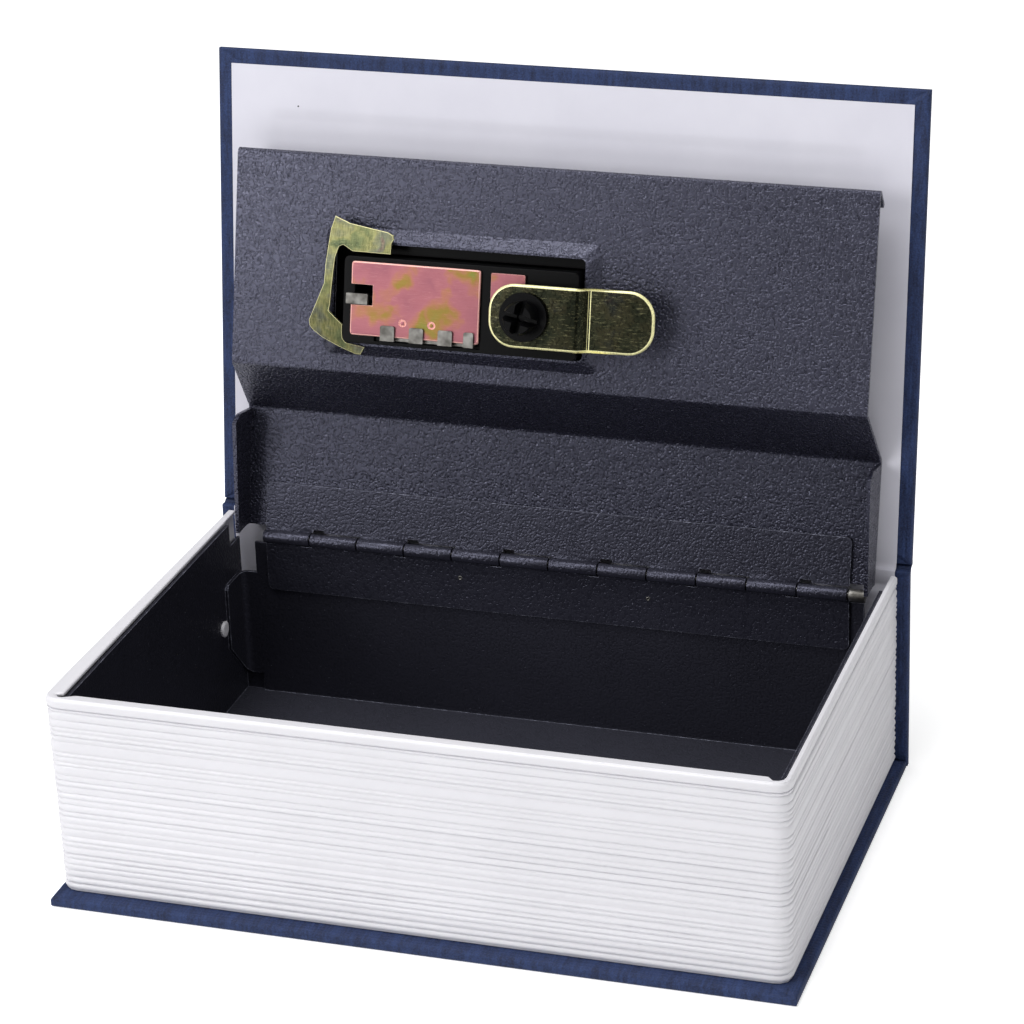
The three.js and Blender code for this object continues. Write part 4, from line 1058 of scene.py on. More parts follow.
@dataclass
class BookCase:
    """The cloth-bound case: three wrapped boards, two cloth joints and one inner paper."""

    width: float = 180.0
    depth: float = 120.0
    board: float = 2.6
    joint_gap: float = 1.2
    spine_height: float = 53.2
    cover_start: float = 0.6
    cover_height: float = 116.6
    paper_margin: float = 3.6
    paper_thickness: float = 0.25
    cloth_thickness: float = 0.6
    turn_in: float = 11.0
    turn_in_height: float = 0.2
    turn_in_slope: float = 1.4
    bunch_start: float = 84.5
    bunch_length: float = 5.0
    bunch_height: float = 0.35

    def build(self, shop: Workshop) -> None:
        """Builds the boards, joints and paper.

        Args:
            shop: Signs the pieces off.
        """
        boards: tuple[tuple[str, float, Body, Place], ...] = (
            ("back_board", self.depth - self.board - self.joint_gap, Body.CASE,
             lambda a, b, d: (a, b - self.depth / 2, self.board - d)),
            ("spine_board", self.spine_height, Body.CASE,
             lambda a, b, d: (a, self.depth / 2 - self.board + d, b)),
            ("front_board", self.cover_height, Body.COVER,
             lambda a, b, d: COVER_FRAME.place(a, b + self.cover_start, d)))
        for number, (node, height, body, place) in enumerate(boards):
            slab = Slab(self.width, height, self.board, seed=number + 1.0)
            shop.sign_off(slab.build(f"{node}_cloth", place), body, Slot.BOOK_CLOTH, node)
        self.back_joint(shop)
        self.front_joint(shop)
        self.paper(shop)

    def strip(self, name: str, line: Sequence[tuple[float, float]], half: float, thickness: float,
              step: float = 1.5, ripple: float = 0.0,
              relief: Callable[[float, int], float] = lambda x, row: 0.0) -> bpy.types.Object:
        """Makes a strip of cloth or paper that follows a line in y and z.

        Args:
            name: Name of the piece.
            line: Places in y and z in millimetres, along one face of the strip.
            half: Half of the strip's width in millimetres.
            thickness: Thickness, set off to the right of the line, in millimetres.
            step: Distance between columns across the book in millimetres.
            ripple: Height of its slight unevenness in millimetres.
            relief: Gives an extra height for a place across and a row number.

        Returns:
            The new object.
        """
        count = round(2 * half / step)
        points: list[Vector] = []
        for side in (0, 1):
            for row, (y, z) in enumerate(line):
                y0, z0 = line[max(row - 1, 0)]
                y1, z1 = line[min(row + 1, len(line) - 1)]
                length = math.hypot(y1 - y0, z1 - z0)
                ny, nz = (z1 - z0) / length, -(y1 - y0) / length
                for i in range(count + 1):
                    x = -half + 2 * half * i / count
                    wave = ripple * noise.noise(Vector((x * 0.09, y * 0.12, z * 0.12)))
                    wave += relief(x, row)
                    out = side * thickness + wave
                    points.append(Vector((x, y + ny * out, z + nz * out)) * MM)
        faces = sheet_faces(count + 1, len(line))
        return finish_mesh(mesh_object(name, points, faces), angle=50.0)

    def back_joint(self, shop: Workshop) -> None:
        """Builds the cloth between the spine and the back board.

        Args:
            shop: Signs the piece off.
        """
        y1 = self.depth / 2 - self.board
        line = [(y1 - self.joint_gap, 0.05), (y1 - self.joint_gap * 0.5, 0.15), (y1, 0.05)]
        cloth = self.strip("back_joint_strip", line, self.width / 2 - 0.2, -0.5)
        shop.sign_off(cloth, Body.CASE, Slot.JOINT_CLOTH, "back_joint_cloth")

    def front_joint(self, shop: Workshop) -> None:
        """Builds the cloth that bends between the spine and the front board.

        Args:
            shop: Signs the piece off.
        """
        outer = self.depth / 2
        ends = [COVER_FRAME.place(0, self.cover_start + r, self.board)[1:] for r in (0.0, 0.7)]
        line = [(outer, self.spine_height - 0.8), (outer + 0.02, self.spine_height - 0.1),
                (outer + 0.35, self.spine_height + 0.2), (outer + 1.0, self.spine_height + 0.33),
                (ends[0][0] - 0.15, ends[0][1] - 0.3), ends[0], ends[1]]

        def bunched(x: float, row: int) -> float:
            """Bunches the cloth at the two ends of the joint, where it was turned in.

            Args:
                x: Place across the book in millimetres.
                row: Number of the row along the strip.

            Returns:
                Extra height in millimetres.
            """
            end = smoothstep((abs(x) - self.bunch_start) / self.bunch_length)
            return self.bunch_height * end * noise.noise(Vector((x * 0.8, row * 0.7, 0.0)))

        cloth = self.strip("front_joint_strip", line, self.width / 2 - 0.1, -0.45, step=0.8,
                           ripple=0.05, relief=bunched)
        shop.bend_off(cloth, (Body.CASE, Body.COVER), (0.0, 0.0600, 0.0532), (0.0, 0.0602, 0.0540),
                      Slot.JOINT_CLOTH, "front_joint_cloth")

    def paper(self, shop: Workshop) -> None:
        """Builds the paper glued up the inside of the spine and over the front board.

        Args:
            shop: Signs the piece off.
        """
        inner = self.depth / 2 - self.board
        top = self.cover_start + self.cover_height - self.paper_margin
        line = [(inner, self.board + self.cloth_thickness + i * 2.5) for i in range(20)]
        line += [(inner, self.spine_height - 0.25), (inner + 0.12, self.spine_height + 0.02),
                 (inner + 0.6, self.spine_height + 0.08), (inner + 1.2, self.spine_height + 0.15),
                 (inner + 1.62, self.spine_height + 0.4)]
        count = 90
        start = self.cover_start + 0.4
        first = len(line)
        line += [COVER_FRAME.place(0, start + (top - start) * i / count, 0.02)[1:]
                 for i in range(count + 1)]
        half = self.width / 2 - self.paper_margin

        def over_turn_ins(x: float, row: int) -> float:
            """Lets the paper down where it leaves the cloth turned in under it.

            Args:
                x: Place across the book in millimetres.
                row: Number of the row along the strip.

            Returns:
                Extra height in millimetres.
            """
            inward = half - abs(x)
            if row >= first:
                inward = min(inward, (top - start) * (count - (row - first)) / count)
            return self.turn_in_height * smoothstep((inward - self.turn_in) / self.turn_in_slope)

        sheet = self.strip("inner_paper", line, half, -self.paper_thickness, step=1.4,
                           ripple=0.03, relief=over_turn_ins)
        shop.bend_off(sheet, (Body.CASE, Body.COVER), (0.0, 0.0590, 0.0534), (0.0, 0.0592, 0.0544),
                      Slot.ENDPAPER, "spine_endpaper", "front_endpaper")


class ShapeTree(Tree):
    """A geometry node tree with a geometry input, named size inputs and a material input."""

    def __init__(self, name: str, sizes: dict[str, float]) -> None:
        """Starts the tree.

        Args:
            name: Name of the tree.
            sizes: Name and value of each size input, in metres, radians or plain numbers.
        """
        super().__init__(bpy.data.node_groups.new(name, "GeometryNodeTree"))
        self.sizes = sizes
        sockets = {"Geometry": "NodeSocketGeometry", **dict.fromkeys(sizes, "NodeSocketFloat"),
                   "Material": "NodeSocketMaterial"}
        for socket, kind in sockets.items():
            self.tree.interface.new_socket(socket, in_out="INPUT", socket_type=kind)
        self.tree.interface.new_socket("Geometry", in_out="OUTPUT",
                                       socket_type="NodeSocketGeometry")
        self.size = self.add(Kind.GROUP_INPUT).outputs

    def close(self, result: bpy.types.Node) -> None:
        """Ends the tree: real copies of all instances, then the material.

        Args:
            result: Node with the finished geometry.
        """
        real = self.add(Kind.REALIZE, {"Geometry": result})
        coated = self.add(Kind.SET_MATERIAL, {
            "Geometry": real, "Material": self.size["Material"]})
        self.add(Kind.GROUP_OUTPUT, {"Geometry": coated})

    def run(self, obj: bpy.types.Object, material: bpy.types.Material) -> bpy.types.Object:
        """Runs the tree on an object and keeps the plain result.

        Args:
            obj: The object that carries the starting geometry.
            material: The material input.

        Returns:
            The same object with its final mesh.
        """
        modifier = obj.modifiers.new(self.tree.name, "NODES")
        modifier.node_group = self.tree
        keys = {item.name: item.identifier for item in self.tree.interface.items_tree
                if item.in_out == "INPUT"}
        for name, value in self.sizes.items():
            modifier[keys[name]] = float(value)
        modifier[keys["Material"]] = material
        return plain_mesh(obj)


@dataclass
class PageBlock:
    """The moulded page block: leaves swept round three sides, a flat rim and two melted stakes."""

    half_width: float = 87.5
    front: float = -56.0
    rear: float = 55.2
    bottom: float = 2.6
    top: float = 53.2
    wall: float = 1.5
    corner: float = 3.6
    leaf_pitch: float = 1.6
    leaf_depth: float = 0.72
    leaf_uneven: float = 1.2
    uneven_mm: float = 1000 / 260
    leaf_wander: float = 0.12
    leaf_offset: float = 0.12
    leaf_roundness: float = 0.6
    shallowest: float = 0.35
    wander_mm: float = 70.0
    rows: int = 300
    path_step: float = 2.1
    seed: float = 4.0
    foot_height: float = 0.5
    foot_slope: float = 0.8
    bow: float = 2.3
    bow_at_foot: float = 0.7
    ridge: float = 2.6
    rim_side: float = 1.6
    seam_left: float = 85.35
    rim_front: float = 3.1
    rim_thickness: float = 1.0
    rim_edge: float = 0.35
    rim_drop: float = 0.1
    relief: float = 0.4
    relief_slope: float = 1.4
    stake_y: float = 40.65
    stake_z: float = 26.2
    stake_seat: float = 84.5
    stake_lump: float = 0.03

    def build(self, shop: Workshop) -> None:
        """Builds the leaves, the rim and the stakes.

        Args:
            shop: Signs the pieces off.
        """
        leaves = self.bowed(self.leaves(shop.materials[Slot.PAGE_PLASTIC]))
        shop.sign_off(leaves, Body.CASE, Slot.PAGE_PLASTIC, "page_block")
        shop.sign_off(self.bowed(self.rim()), Body.CASE, Slot.PAGE_PLASTIC)
        for side in (-1, 1):
            shop.sign_off(self.stake(side), Body.CASE, Slot.PAGE_PLASTIC)

    def leaves(self, material: bpy.types.Material) -> bpy.types.Object:
        """Sweeps the uneven leaves along a U-shaped path.

        Args:
            material: Finish of the moulding.

        Returns:
            The swept wall.
        """
        x, z = self.half_width * MM, self.bottom * MM
        mesh = bpy.data.meshes.new("page_leaves")
        mesh.from_pydata([(-x, self.rear * MM, z), (-x, self.front * MM, z),
                          (x, self.front * MM, z), (x, self.rear * MM, z)],
                         [(0, 1), (1, 2), (2, 3)], [])
        # The wall ends just under the rim's upper face, so that the two never lie in one plane
        height = self.top - self.bottom - self.rim_drop
        tree = ShapeTree("swept_leaves", {
            "Height": height * MM, "Wall": self.wall * MM, "Corner Radius": self.corner * MM,
            "Leaf Pitch": self.leaf_pitch * MM, "Leaf Depth": self.leaf_depth * MM,
            "Ridge Height": self.ridge * MM, "Base": z, "Rows": self.rows,
            "Step": self.path_step * MM, "Seed": self.seed})
        self.sweep(tree)
        return finish_mesh(tree.run(linked("page_leaves", mesh), material), angle=70.0)

    def sweep(self, tree: ShapeTree) -> None:
        """Adds the nodes that sweep the wall and cut the leaves into it.

        Args:
            tree: The geometry node tree.
        """
        size = tree.size
        path = tree.add(Kind.CURVE_OF_MESH, {"Mesh": size["Geometry"]})
        path = tree.add(Kind.FILLET, {
            "Curve": path, "Radius": size["Corner Radius"], "Count": 9}, mode="POLY")
        path = tree.add(Kind.RESAMPLE, {"Curve": path, "Length": size["Step"]}, mode="LENGTH")
        path = tree.add(Kind.CAPTURE, {"Geometry": path, "kept": tree.add(Kind.NORMAL)},
                        keep="VECTOR")
        profile = self.wall_profile(tree)
        wall = tree.add(Kind.SWEEP, {
            "Curve": path, "Profile Curve": profile, "Fill Caps": True})
        inset = tree.add(Kind.MULTIPLY, (self.inset(tree), profile.outputs["kept"]))
        push = tree.add(Kind.SCALE, {0: path.outputs["kept"], "Scale": inset})
        tree.close(tree.add(Kind.SET_POSITION, {"Geometry": wall, "Offset": push}))

    def wall_profile(self, tree: ShapeTree) -> bpy.types.Node:
        """Builds the wall's section: many rows up the outside and two points on the inside.

        Args:
            tree: The geometry node tree.

        Returns:
            The node with the closed profile, which keeps a mask of its outer rows.
        """
        rows, index = tree.size["Rows"], tree.add(Kind.INDEX)
        line = tree.add(Kind.LINE, {"Count": tree.add(Kind.ADD, (rows, 3.0))})
        inside = tree.add(Kind.GREATER, (index, tree.add(Kind.ADD, (rows, 0.5))))
        last = tree.add(Kind.GREATER, (index, tree.add(Kind.ADD, (rows, 1.5))))
        share = tree.add(Kind.MINIMUM, (tree.add(Kind.DIVIDE, (index, rows)), 1.0))
        share = tree.add(Kind.MULTIPLY, (share, tree.add(Kind.SUBTRACT, (1.0, last))))
        inward = tree.add(Kind.MULTIPLY, (tree.size["Wall"], -1.0))
        downward = tree.add(Kind.MULTIPLY, (tree.size["Height"], -1.0))
        spot = tree.add(Kind.JOIN_XYZ, (tree.add(Kind.MULTIPLY, (inside, inward)),
                                        tree.add(Kind.MULTIPLY, (share, downward))))
        shaped = tree.add(Kind.SET_POSITION, {"Geometry": line, "Position": spot})
        curve = tree.add(Kind.CURVE_OF_MESH, {"Mesh": shaped})
        loop = tree.add(Kind.CYCLIC, {"Geometry": curve, "Cyclic": True})
        mask = tree.add(Kind.SUBTRACT, (1.0, inside))
        return tree.add(Kind.CAPTURE, {"Geometry": loop, "kept": mask}, keep="FLOAT")

    def inset(self, tree: ShapeTree) -> bpy.types.Node:
        """Works out how far the outside lies back: between leaves, at the ridge and the foot.

        Args:
            tree: The geometry node tree.

        Returns:
            The node with the offset along the outward direction.
        """
        size, place = tree.size, tree.add(Kind.POSITION)
        height = tree.add(Kind.SPLIT_XYZ, {"Vector": place}).outputs["Z"]
        height = tree.add(Kind.SUBTRACT, (height, size["Base"]))
        scaled = tree.add(Kind.MULTIPLY_ADD, (height, 1 / (self.uneven_mm * MM), size["Seed"]))
        uneven = tree.add(Kind.CLOUDS, {"W": scaled, "Scale": 1.0, "Detail": 1.0},
                          noise_dimensions="1D")
        wander = tree.add(Kind.CLOUDS, {
            "Vector": place, "Scale": 1 / (self.wander_mm * MM), "Detail": 1.0})
        leaf = tree.add(Kind.DIVIDE, (height, size["Leaf Pitch"]))
        leaf = tree.add(Kind.MULTIPLY_ADD, (uneven, self.leaf_uneven, leaf))
        leaf = tree.add(Kind.MULTIPLY_ADD, (wander, self.leaf_wander, leaf))
        chance = tree.add(Kind.CHANCE, {"W": tree.add(Kind.FLOOR, (leaf,))},
                          noise_dimensions="1D")
        wave = tree.add(Kind.SINE, (tree.add(Kind.MULTIPLY, (leaf, math.pi)),))
        swell = tree.add(Kind.POWER, (tree.add(Kind.ABSOLUTE, (wave,)), self.leaf_roundness))
        valley = tree.add(Kind.SUBTRACT, (1.0, swell))
        deep = tree.add(Kind.MULTIPLY_ADD, (chance, self.shallowest, self.shallowest))
        deep = tree.add(Kind.MULTIPLY, (deep, size["Leaf Depth"]))
        groove = tree.add(Kind.MULTIPLY, (valley, deep))
        back = tree.add(Kind.MULTIPLY_ADD, (chance, self.leaf_offset * MM, groove))
        from_top = tree.add(Kind.SUBTRACT, (size["Height"], height))
        ridge_place = tree.add(Kind.DIVIDE, (from_top, size["Ridge Height"]))
        mixed = tree.add(Kind.MIX, {
            "Factor": tree.add(Kind.LESS, (ridge_place, 1.0)), NUMBER_A: back,
            NUMBER_B: self.ridge_inset(tree, ridge_place)})
        foot = tree.add(Kind.SUBTRACT, (self.foot_height * MM, height))
        foot = tree.add(Kind.MAXIMUM, (foot, 0.0))
        whole = tree.add(Kind.MULTIPLY_ADD, (foot, self.foot_slope, mixed))
        return tree.add(Kind.MULTIPLY, (whole, -1.0))

    def ridge_inset(self, tree: ShapeTree, place: bpy.types.Node) -> bpy.types.Node:
        """Rounds the ridge that runs along the top of the block.

        Args:
            tree: The geometry node tree.
            place: Share of the ridge's height, from 0 at the top to 1 at its foot.

        Returns:
            The node with the inset.
        """
        middle = tree.add(Kind.MULTIPLY_ADD, (place, 2.0, -1.0))
        bulge = tree.add(Kind.POWER, (tree.add(Kind.ABSOLUTE, (middle,)), 5.0))
        depth = tree.add(Kind.MULTIPLY, (tree.size["Leaf Depth"], 0.95))
        return tree.add(Kind.MULTIPLY, (bulge, depth))

    def bowed(self, obj: bpy.types.Object) -> bpy.types.Object:
        """Lets the thin left wall stand out towards its free front corner, as in the photo.

        Args:
            obj: A part of the block.

        Returns:
            The same object.
        """
        start, held, fade = 10.0, 1.0, 1.2
        for vertex in obj.data.vertices:
            x, y, z = (value / MM for value in vertex.co)
            left = smoothstep((start - x) / (start + self.half_width))
            front = smoothstep((self.rear - y) / (self.rear - self.front))
            rise = (z - self.bottom) / (self.top - self.bottom)
            high = self.bow_at_foot + (1 - self.bow_at_foot) * rise
            # The edge beside the box stays where it is, so that no gap opens there
            outer = 1 - smoothstep((self.depth_inside(x, y) - held) / fade)
            vertex.co.x -= self.bow * left * front * high * outer * MM
        return obj

    def depth_inside(self, x: float, y: float) -> float:
        """Gives the distance of a point from the block's outer face.

        Args:
            x: Place across the book in millimetres.
            y: Place along the book's depth in millimetres.

        Returns:
            The distance in millimetres.
        """
        beyond_x = abs(x) - (self.half_width - self.corner)
        beyond_y = self.front + self.corner - y
        if beyond_x > 0 and beyond_y > 0:
            return self.corner - math.hypot(beyond_x, beyond_y)
        return self.corner - max(beyond_x, beyond_y)

    def rim(self) -> bpy.types.Object:
        """Builds the flat rim over the gap beside the steel box.

        Returns:
            The rim.
        """
        edge = self.half_width - self.leaf_depth + self.rim_edge
        corner_x = self.half_width - self.corner
        corner_y = self.front + self.corner
        inner = self.half_width - self.rim_side
        inner_radius = self.corner - self.rim_side
        relief_y = self.front + self.rim_side
        front_y = self.front + self.rim_front
        right = [(edge, self.rear)] + arc(corner_x, corner_y, edge - corner_x, 0, -90)
        reach = inner - inner_radius - self.relief
        inward = [(reach - self.relief_slope, front_y), (reach, relief_y), (corner_x, relief_y)]
        inward += arc(corner_x, corner_y, inner_radius, -90, 0) + [(inner, self.rear)]
        left = [(-x, y) for x, y in reversed(right)]
        # On the left the rim's inner edge lies closer to the box than on the right
        seam = [(-self.seam_left if x in (inner, corner_x + inner_radius) else -x, y)
                for x, y in reversed(inward)]
        plate = prism("page_rim", right + left + seam + inward, lambda a, b, level: (a, b, level),
                      self.top - self.rim_thickness, self.top)
        return rounded(plate, self.rim_edge, 3)

    def stake(self, side: int) -> bpy.types.Object:
        """Builds the melted head of a stake on the inside of a side wall.

        Args:
            side: -1 for the left wall, 1 for the right wall.

        Returns:
            The stake's head and shank.
        """
        rings = ((2.2, 1.6), (0.02, 1.6), (0.0, 2.1), (-0.35, 2.12), (-0.6, 1.95), (-0.72, 1.5),
                 (-0.66, 0.7))

        def lumpy(out: float, radius: float, turn: float) -> Point:
            """Gives a point of the head, which melted slightly out of round.

            Args:
                out: Place along the stake in millimetres, from its seat.
                radius: Radius of the ring in millimetres.
                turn: Angle round the stake.

            Returns:
                The point in millimetres.
            """
            reach = radius * (1 + self.stake_lump * math.sin(3 * turn + side))
            return ((self.stake_seat + out) * side, self.stake_y + reach * math.cos(turn),
                    self.stake_z + reach * math.sin(turn))

        name = "stake_left" if side < 0 else "stake_right"
        return stacked_rings(name, rings, steps=28, place=lumpy, angle=50.0)


@dataclass
class PianoHinge:
    """The piano hinge: a plate with rolled knuckles for the box, and one for the lid."""

    length: float = 152.4
    pitch: float = 12.7
    gap: float = 0.35
    radius: float = 1.65
    bore: float = 0.83
    sheet: float = 0.75
    notch: float = 1.78
    slot_width: float = 3.2
    slot_height: float = 0.75
    corner: float = 1.5
    plate_edge: float = 0.15
    strip_edge: float = 0.14
    box_height: float = 15.4
    lid_height: float = 14.0
    roll: float = 318.0
    roll_steps: int = 26
    tail: float = 0.9
    per_leaf: int = 6
    welds: tuple[tuple[float, float], ...] = ((-24.0, 41.9), (25.2, 41.5))

    def build(self, shop: Workshop) -> None:
        """Builds both leaves and the weld marks.

        Args:
            shop: Signs the pieces off.
        """
        paint = shop.materials[Slot.HINGE_PAINT]
        tree = self.knuckles()
        box = tree.run(self.plate("hinge_leaf_box_rolled", self.box_height), paint)
        box.data.transform(self.turn((0, 1, 0), (0, 0, -1)))
        shop.sign_off(finish_mesh(box), Body.CASE, Slot.HINGE_PAINT, "hinge_leaf_box")
        for number, (x, z) in enumerate(self.welds):
            shop.sign_off(self.weld(number + 1, x, z), Body.CASE, Slot.BARE_STEEL)
        lean = math.radians(LID_FRAME.lean)
        lid = tree.run(self.plate("hinge_leaf_lid_rolled", self.lid_height), paint)
        lid.data.transform(self.turn((0, math.cos(lean), -math.sin(lean)),
                                     (0, math.sin(lean), math.cos(lean))))
        shop.sign_off(finish_mesh(lid), Body.LID, Slot.HINGE_PAINT, "hinge_leaf_lid")

    @property
    def first(self) -> float:
        """Middle of a leaf's first knuckle, measured along the leaf's own axis."""
        return -self.length / 2 + self.pitch / 2

    def weld(self, number: int, x: float, z: float) -> bpy.types.Object:
        """Builds a spot weld on the box leaf: a shallow crater with a raised lip.

        Args:
            number: Number in the piece's name.
            x: Place across the book in millimetres.
            z: Height in millimetres.

        Returns:
            The weld mark.
        """
        face = LID_FRAME.pivot_y + self.radius - self.sheet
        rings = ((0.1, 0.62), (-0.02, 0.6), (-0.1, 0.5), (-0.12, 0.4), (-0.05, 0.28), (0.0, 0.12))
        return stacked_rings(
            f"spot_weld_{number}", rings, steps=20, place=lambda out, radius, turn: (
                x + radius * math.cos(turn), face + out, z + radius * math.sin(turn)), angle=60.0)

    def turn(self, back: Point, away: Point) -> Matrix:
        """Gives the turn from a leaf's own axes to the safe's frame, round the hinge pin.

        Args:
            back: Direction from the pin to the plate.
            away: Direction along the plate, away from the pin.

        Returns:
            The matrix.
        """
        axis = Vector(back).cross(Vector(away))
        matrix = Matrix((Vector(back), Vector(away), axis)).transposed().to_4x4()
        matrix.translation = Vector((0.0, LID_FRAME.pivot_y, LID_FRAME.pivot_z)) * MM
        return matrix

    def plate(self, name: str, height: float) -> bpy.types.Object:
        """Builds the plate of one leaf in its own axes: back, away from the pin, along the pin.

        Args:
            name: Name of the piece.
            height: Height of the plate in millimetres.

        Returns:
            The plate, slotted for the other leaf's knuckles.
        """
        half = self.length / 2
        top = self.notch + self.slot_height
        outline = [(-half, self.notch)]
        for knuckle in range(self.per_leaf):
            start = self.first + self.pitch * (2 * knuckle + 0.5) + self.gap / 2
            end = start + self.slot_width
            outline += [(start, self.notch), (start + 0.1, top), (end - 0.3, top),
                        (end, self.notch)]
        outline[-1] = (min(outline[-1][0], half - 0.1), self.notch)
        outline.append((half, self.notch))
        outline += arc(half - self.corner, height - self.corner, self.corner, 0, 90, 5)
        outline += arc(-half + self.corner, height - self.corner, self.corner, 90, 180, 5)
        plate = prism(name, outline, lambda a, b, level: (level, b, a),
                      self.radius - self.sheet, self.radius)
        return rounded(plate, self.plate_edge, 2)

    def knuckles(self) -> ShapeTree:
        """Builds the node tree that rolls a strip into a knuckle and repeats it along the pin.

        Returns:
            The geometry node tree.
        """
        tree = ShapeTree("rolled_knuckles", {
            "Count": self.per_leaf, "First": self.first * MM, "Pitch": 2 * self.pitch * MM,
            "Knuckle Length": (self.pitch - self.gap) * MM,
            "Middle Radius": (self.radius + self.bore) / 2 * MM,
            "Sheet": (self.radius - self.bore) * MM, "Tail": (self.notch + self.tail) * MM,
            "Roll": math.radians(self.roll)})
        size, steps, index = tree.size, float(self.roll_steps), tree.add(Kind.INDEX)
        line = tree.add(Kind.LINE, {"Count": self.roll_steps + 2})
        share = tree.add(Kind.MINIMUM, (tree.add(Kind.DIVIDE, (index, steps)), 1.0))
        share = tree.add(Kind.SUBTRACT, (share, 1.0))
        angle = tree.add(Kind.MULTIPLY, (share, size["Roll"]))
        on_tail = tree.add(Kind.GREATER, (index, steps + 0.5))
        back, away = (tree.add(Kind.MULTIPLY, (tree.add(kind, (angle,)), size["Middle Radius"]))
                      for kind in (Kind.COSINE, Kind.SINE))
        away = tree.add(Kind.MULTIPLY_ADD, (on_tail, size["Tail"], away))
        path = tree.add(Kind.SET_POSITION, {
            "Geometry": line, "Position": tree.add(Kind.JOIN_XYZ, (back, away))})
        strip = tree.add(Kind.RECTANGLE, {
            "Width": size["Sheet"], "Height": size["Knuckle Length"]})
        strip = tree.add(Kind.FILLET, {
            "Curve": strip, "Radius": self.strip_edge * MM, "Count": 2}, mode="POLY")
        knuckle = tree.add(Kind.SWEEP, {
            "Curve": tree.add(Kind.CURVE_OF_MESH, {"Mesh": path}), "Profile Curve": strip,
            "Fill Caps": True})
        start, step = (tree.add(Kind.JOIN_XYZ, {"Z": size[name]}) for name in ("First", "Pitch"))
        places = tree.add(Kind.LINE, {
            "Count": size["Count"], "Start Location": start, "Offset": step})
        copies = tree.add(Kind.INSTANCES, {"Points": places, "Instance": knuckle})
        joined = tree.add(Kind.JOIN_GEOMETRY)
        for source in (size["Geometry"], copies):
            tree.feed(joined, {"Geometry": source})
        tree.close(joined)
        return tree


@dataclass(frozen=True)
class SoftCopy:
    """A CAD node carried over with eased edges: its name, body, slot and edge width."""

    node: str
    body: Body
    slot: Slot
    edge: float = 0.2
    segments: int = 2
    look: Optional[Look] = None
    held: bool = True

    def build(self, shop: Workshop) -> bpy.types.Object:
        """Copies the node and eases its edges.

        Args:
            shop: Signs the piece off.

        Returns:
            The piece.
        """
        piece = rounded(copy_of(self.node, f"{self.node}_eased"), self.edge, self.segments,
                        held=self.held)
        return shop.sign_off(piece, self.body, self.slot, self.node, look=self.look)


COPIES = (
    SoftCopy("steel_box", Body.CASE, Slot.BOX_PAINT, 0.2),
    SoftCopy("keeper_bracket", Body.CASE, Slot.BOX_PAINT, 0.25),
    SoftCopy("hinge_pin", Body.CASE, Slot.BARE_STEEL, 0.15),
    SoftCopy("lid_plate", Body.LID, Slot.LID_PAINT, 0.25),
    SoftCopy("lock_housing", Body.LID, Slot.BLACK_PLASTIC, 0.3),
    SoftCopy("lock_faceplate", Body.LID, Slot.BLACK_PLASTIC, 0.3),
    SoftCopy("dial_axle", Body.LID, Slot.BARE_STEEL, 0.12),
    SoftCopy("lock_cover_plate", Body.LID, Slot.PINK_ZINC, 0.25),
    SoftCopy("spindle_plate", Body.LID, Slot.PINK_ZINC, 0.12),
    SoftCopy("spring_comb", Body.LID, Slot.BARE_STEEL, 0.08),
    SoftCopy("reset_lever", Body.RESET, Slot.BARE_STEEL, 0.15),
    SoftCopy("retaining_clip", Body.LID, Slot.YELLOW_ZINC, 0.3, 3),
    SoftCopy("dial_1", Body.DIAL_1, Slot.BLACK_PLASTIC, 0.12),
    SoftCopy("dial_2", Body.DIAL_2, Slot.BLACK_PLASTIC, 0.12),
    SoftCopy("dial_3", Body.DIAL_3, Slot.BLACK_PLASTIC, 0.12),
    SoftCopy("lock_knob", Body.LATCH, Slot.BLACK_PLASTIC, 0.3),
    SoftCopy("cam_latch", Body.LATCH, Slot.YELLOW_ZINC, 0.6, 3, Look.DARK_REFLECTION_ZINC, held=False),
    SoftCopy("latch_retainer", Body.LATCH, Slot.BLACK_PLASTIC, 0.2),
)


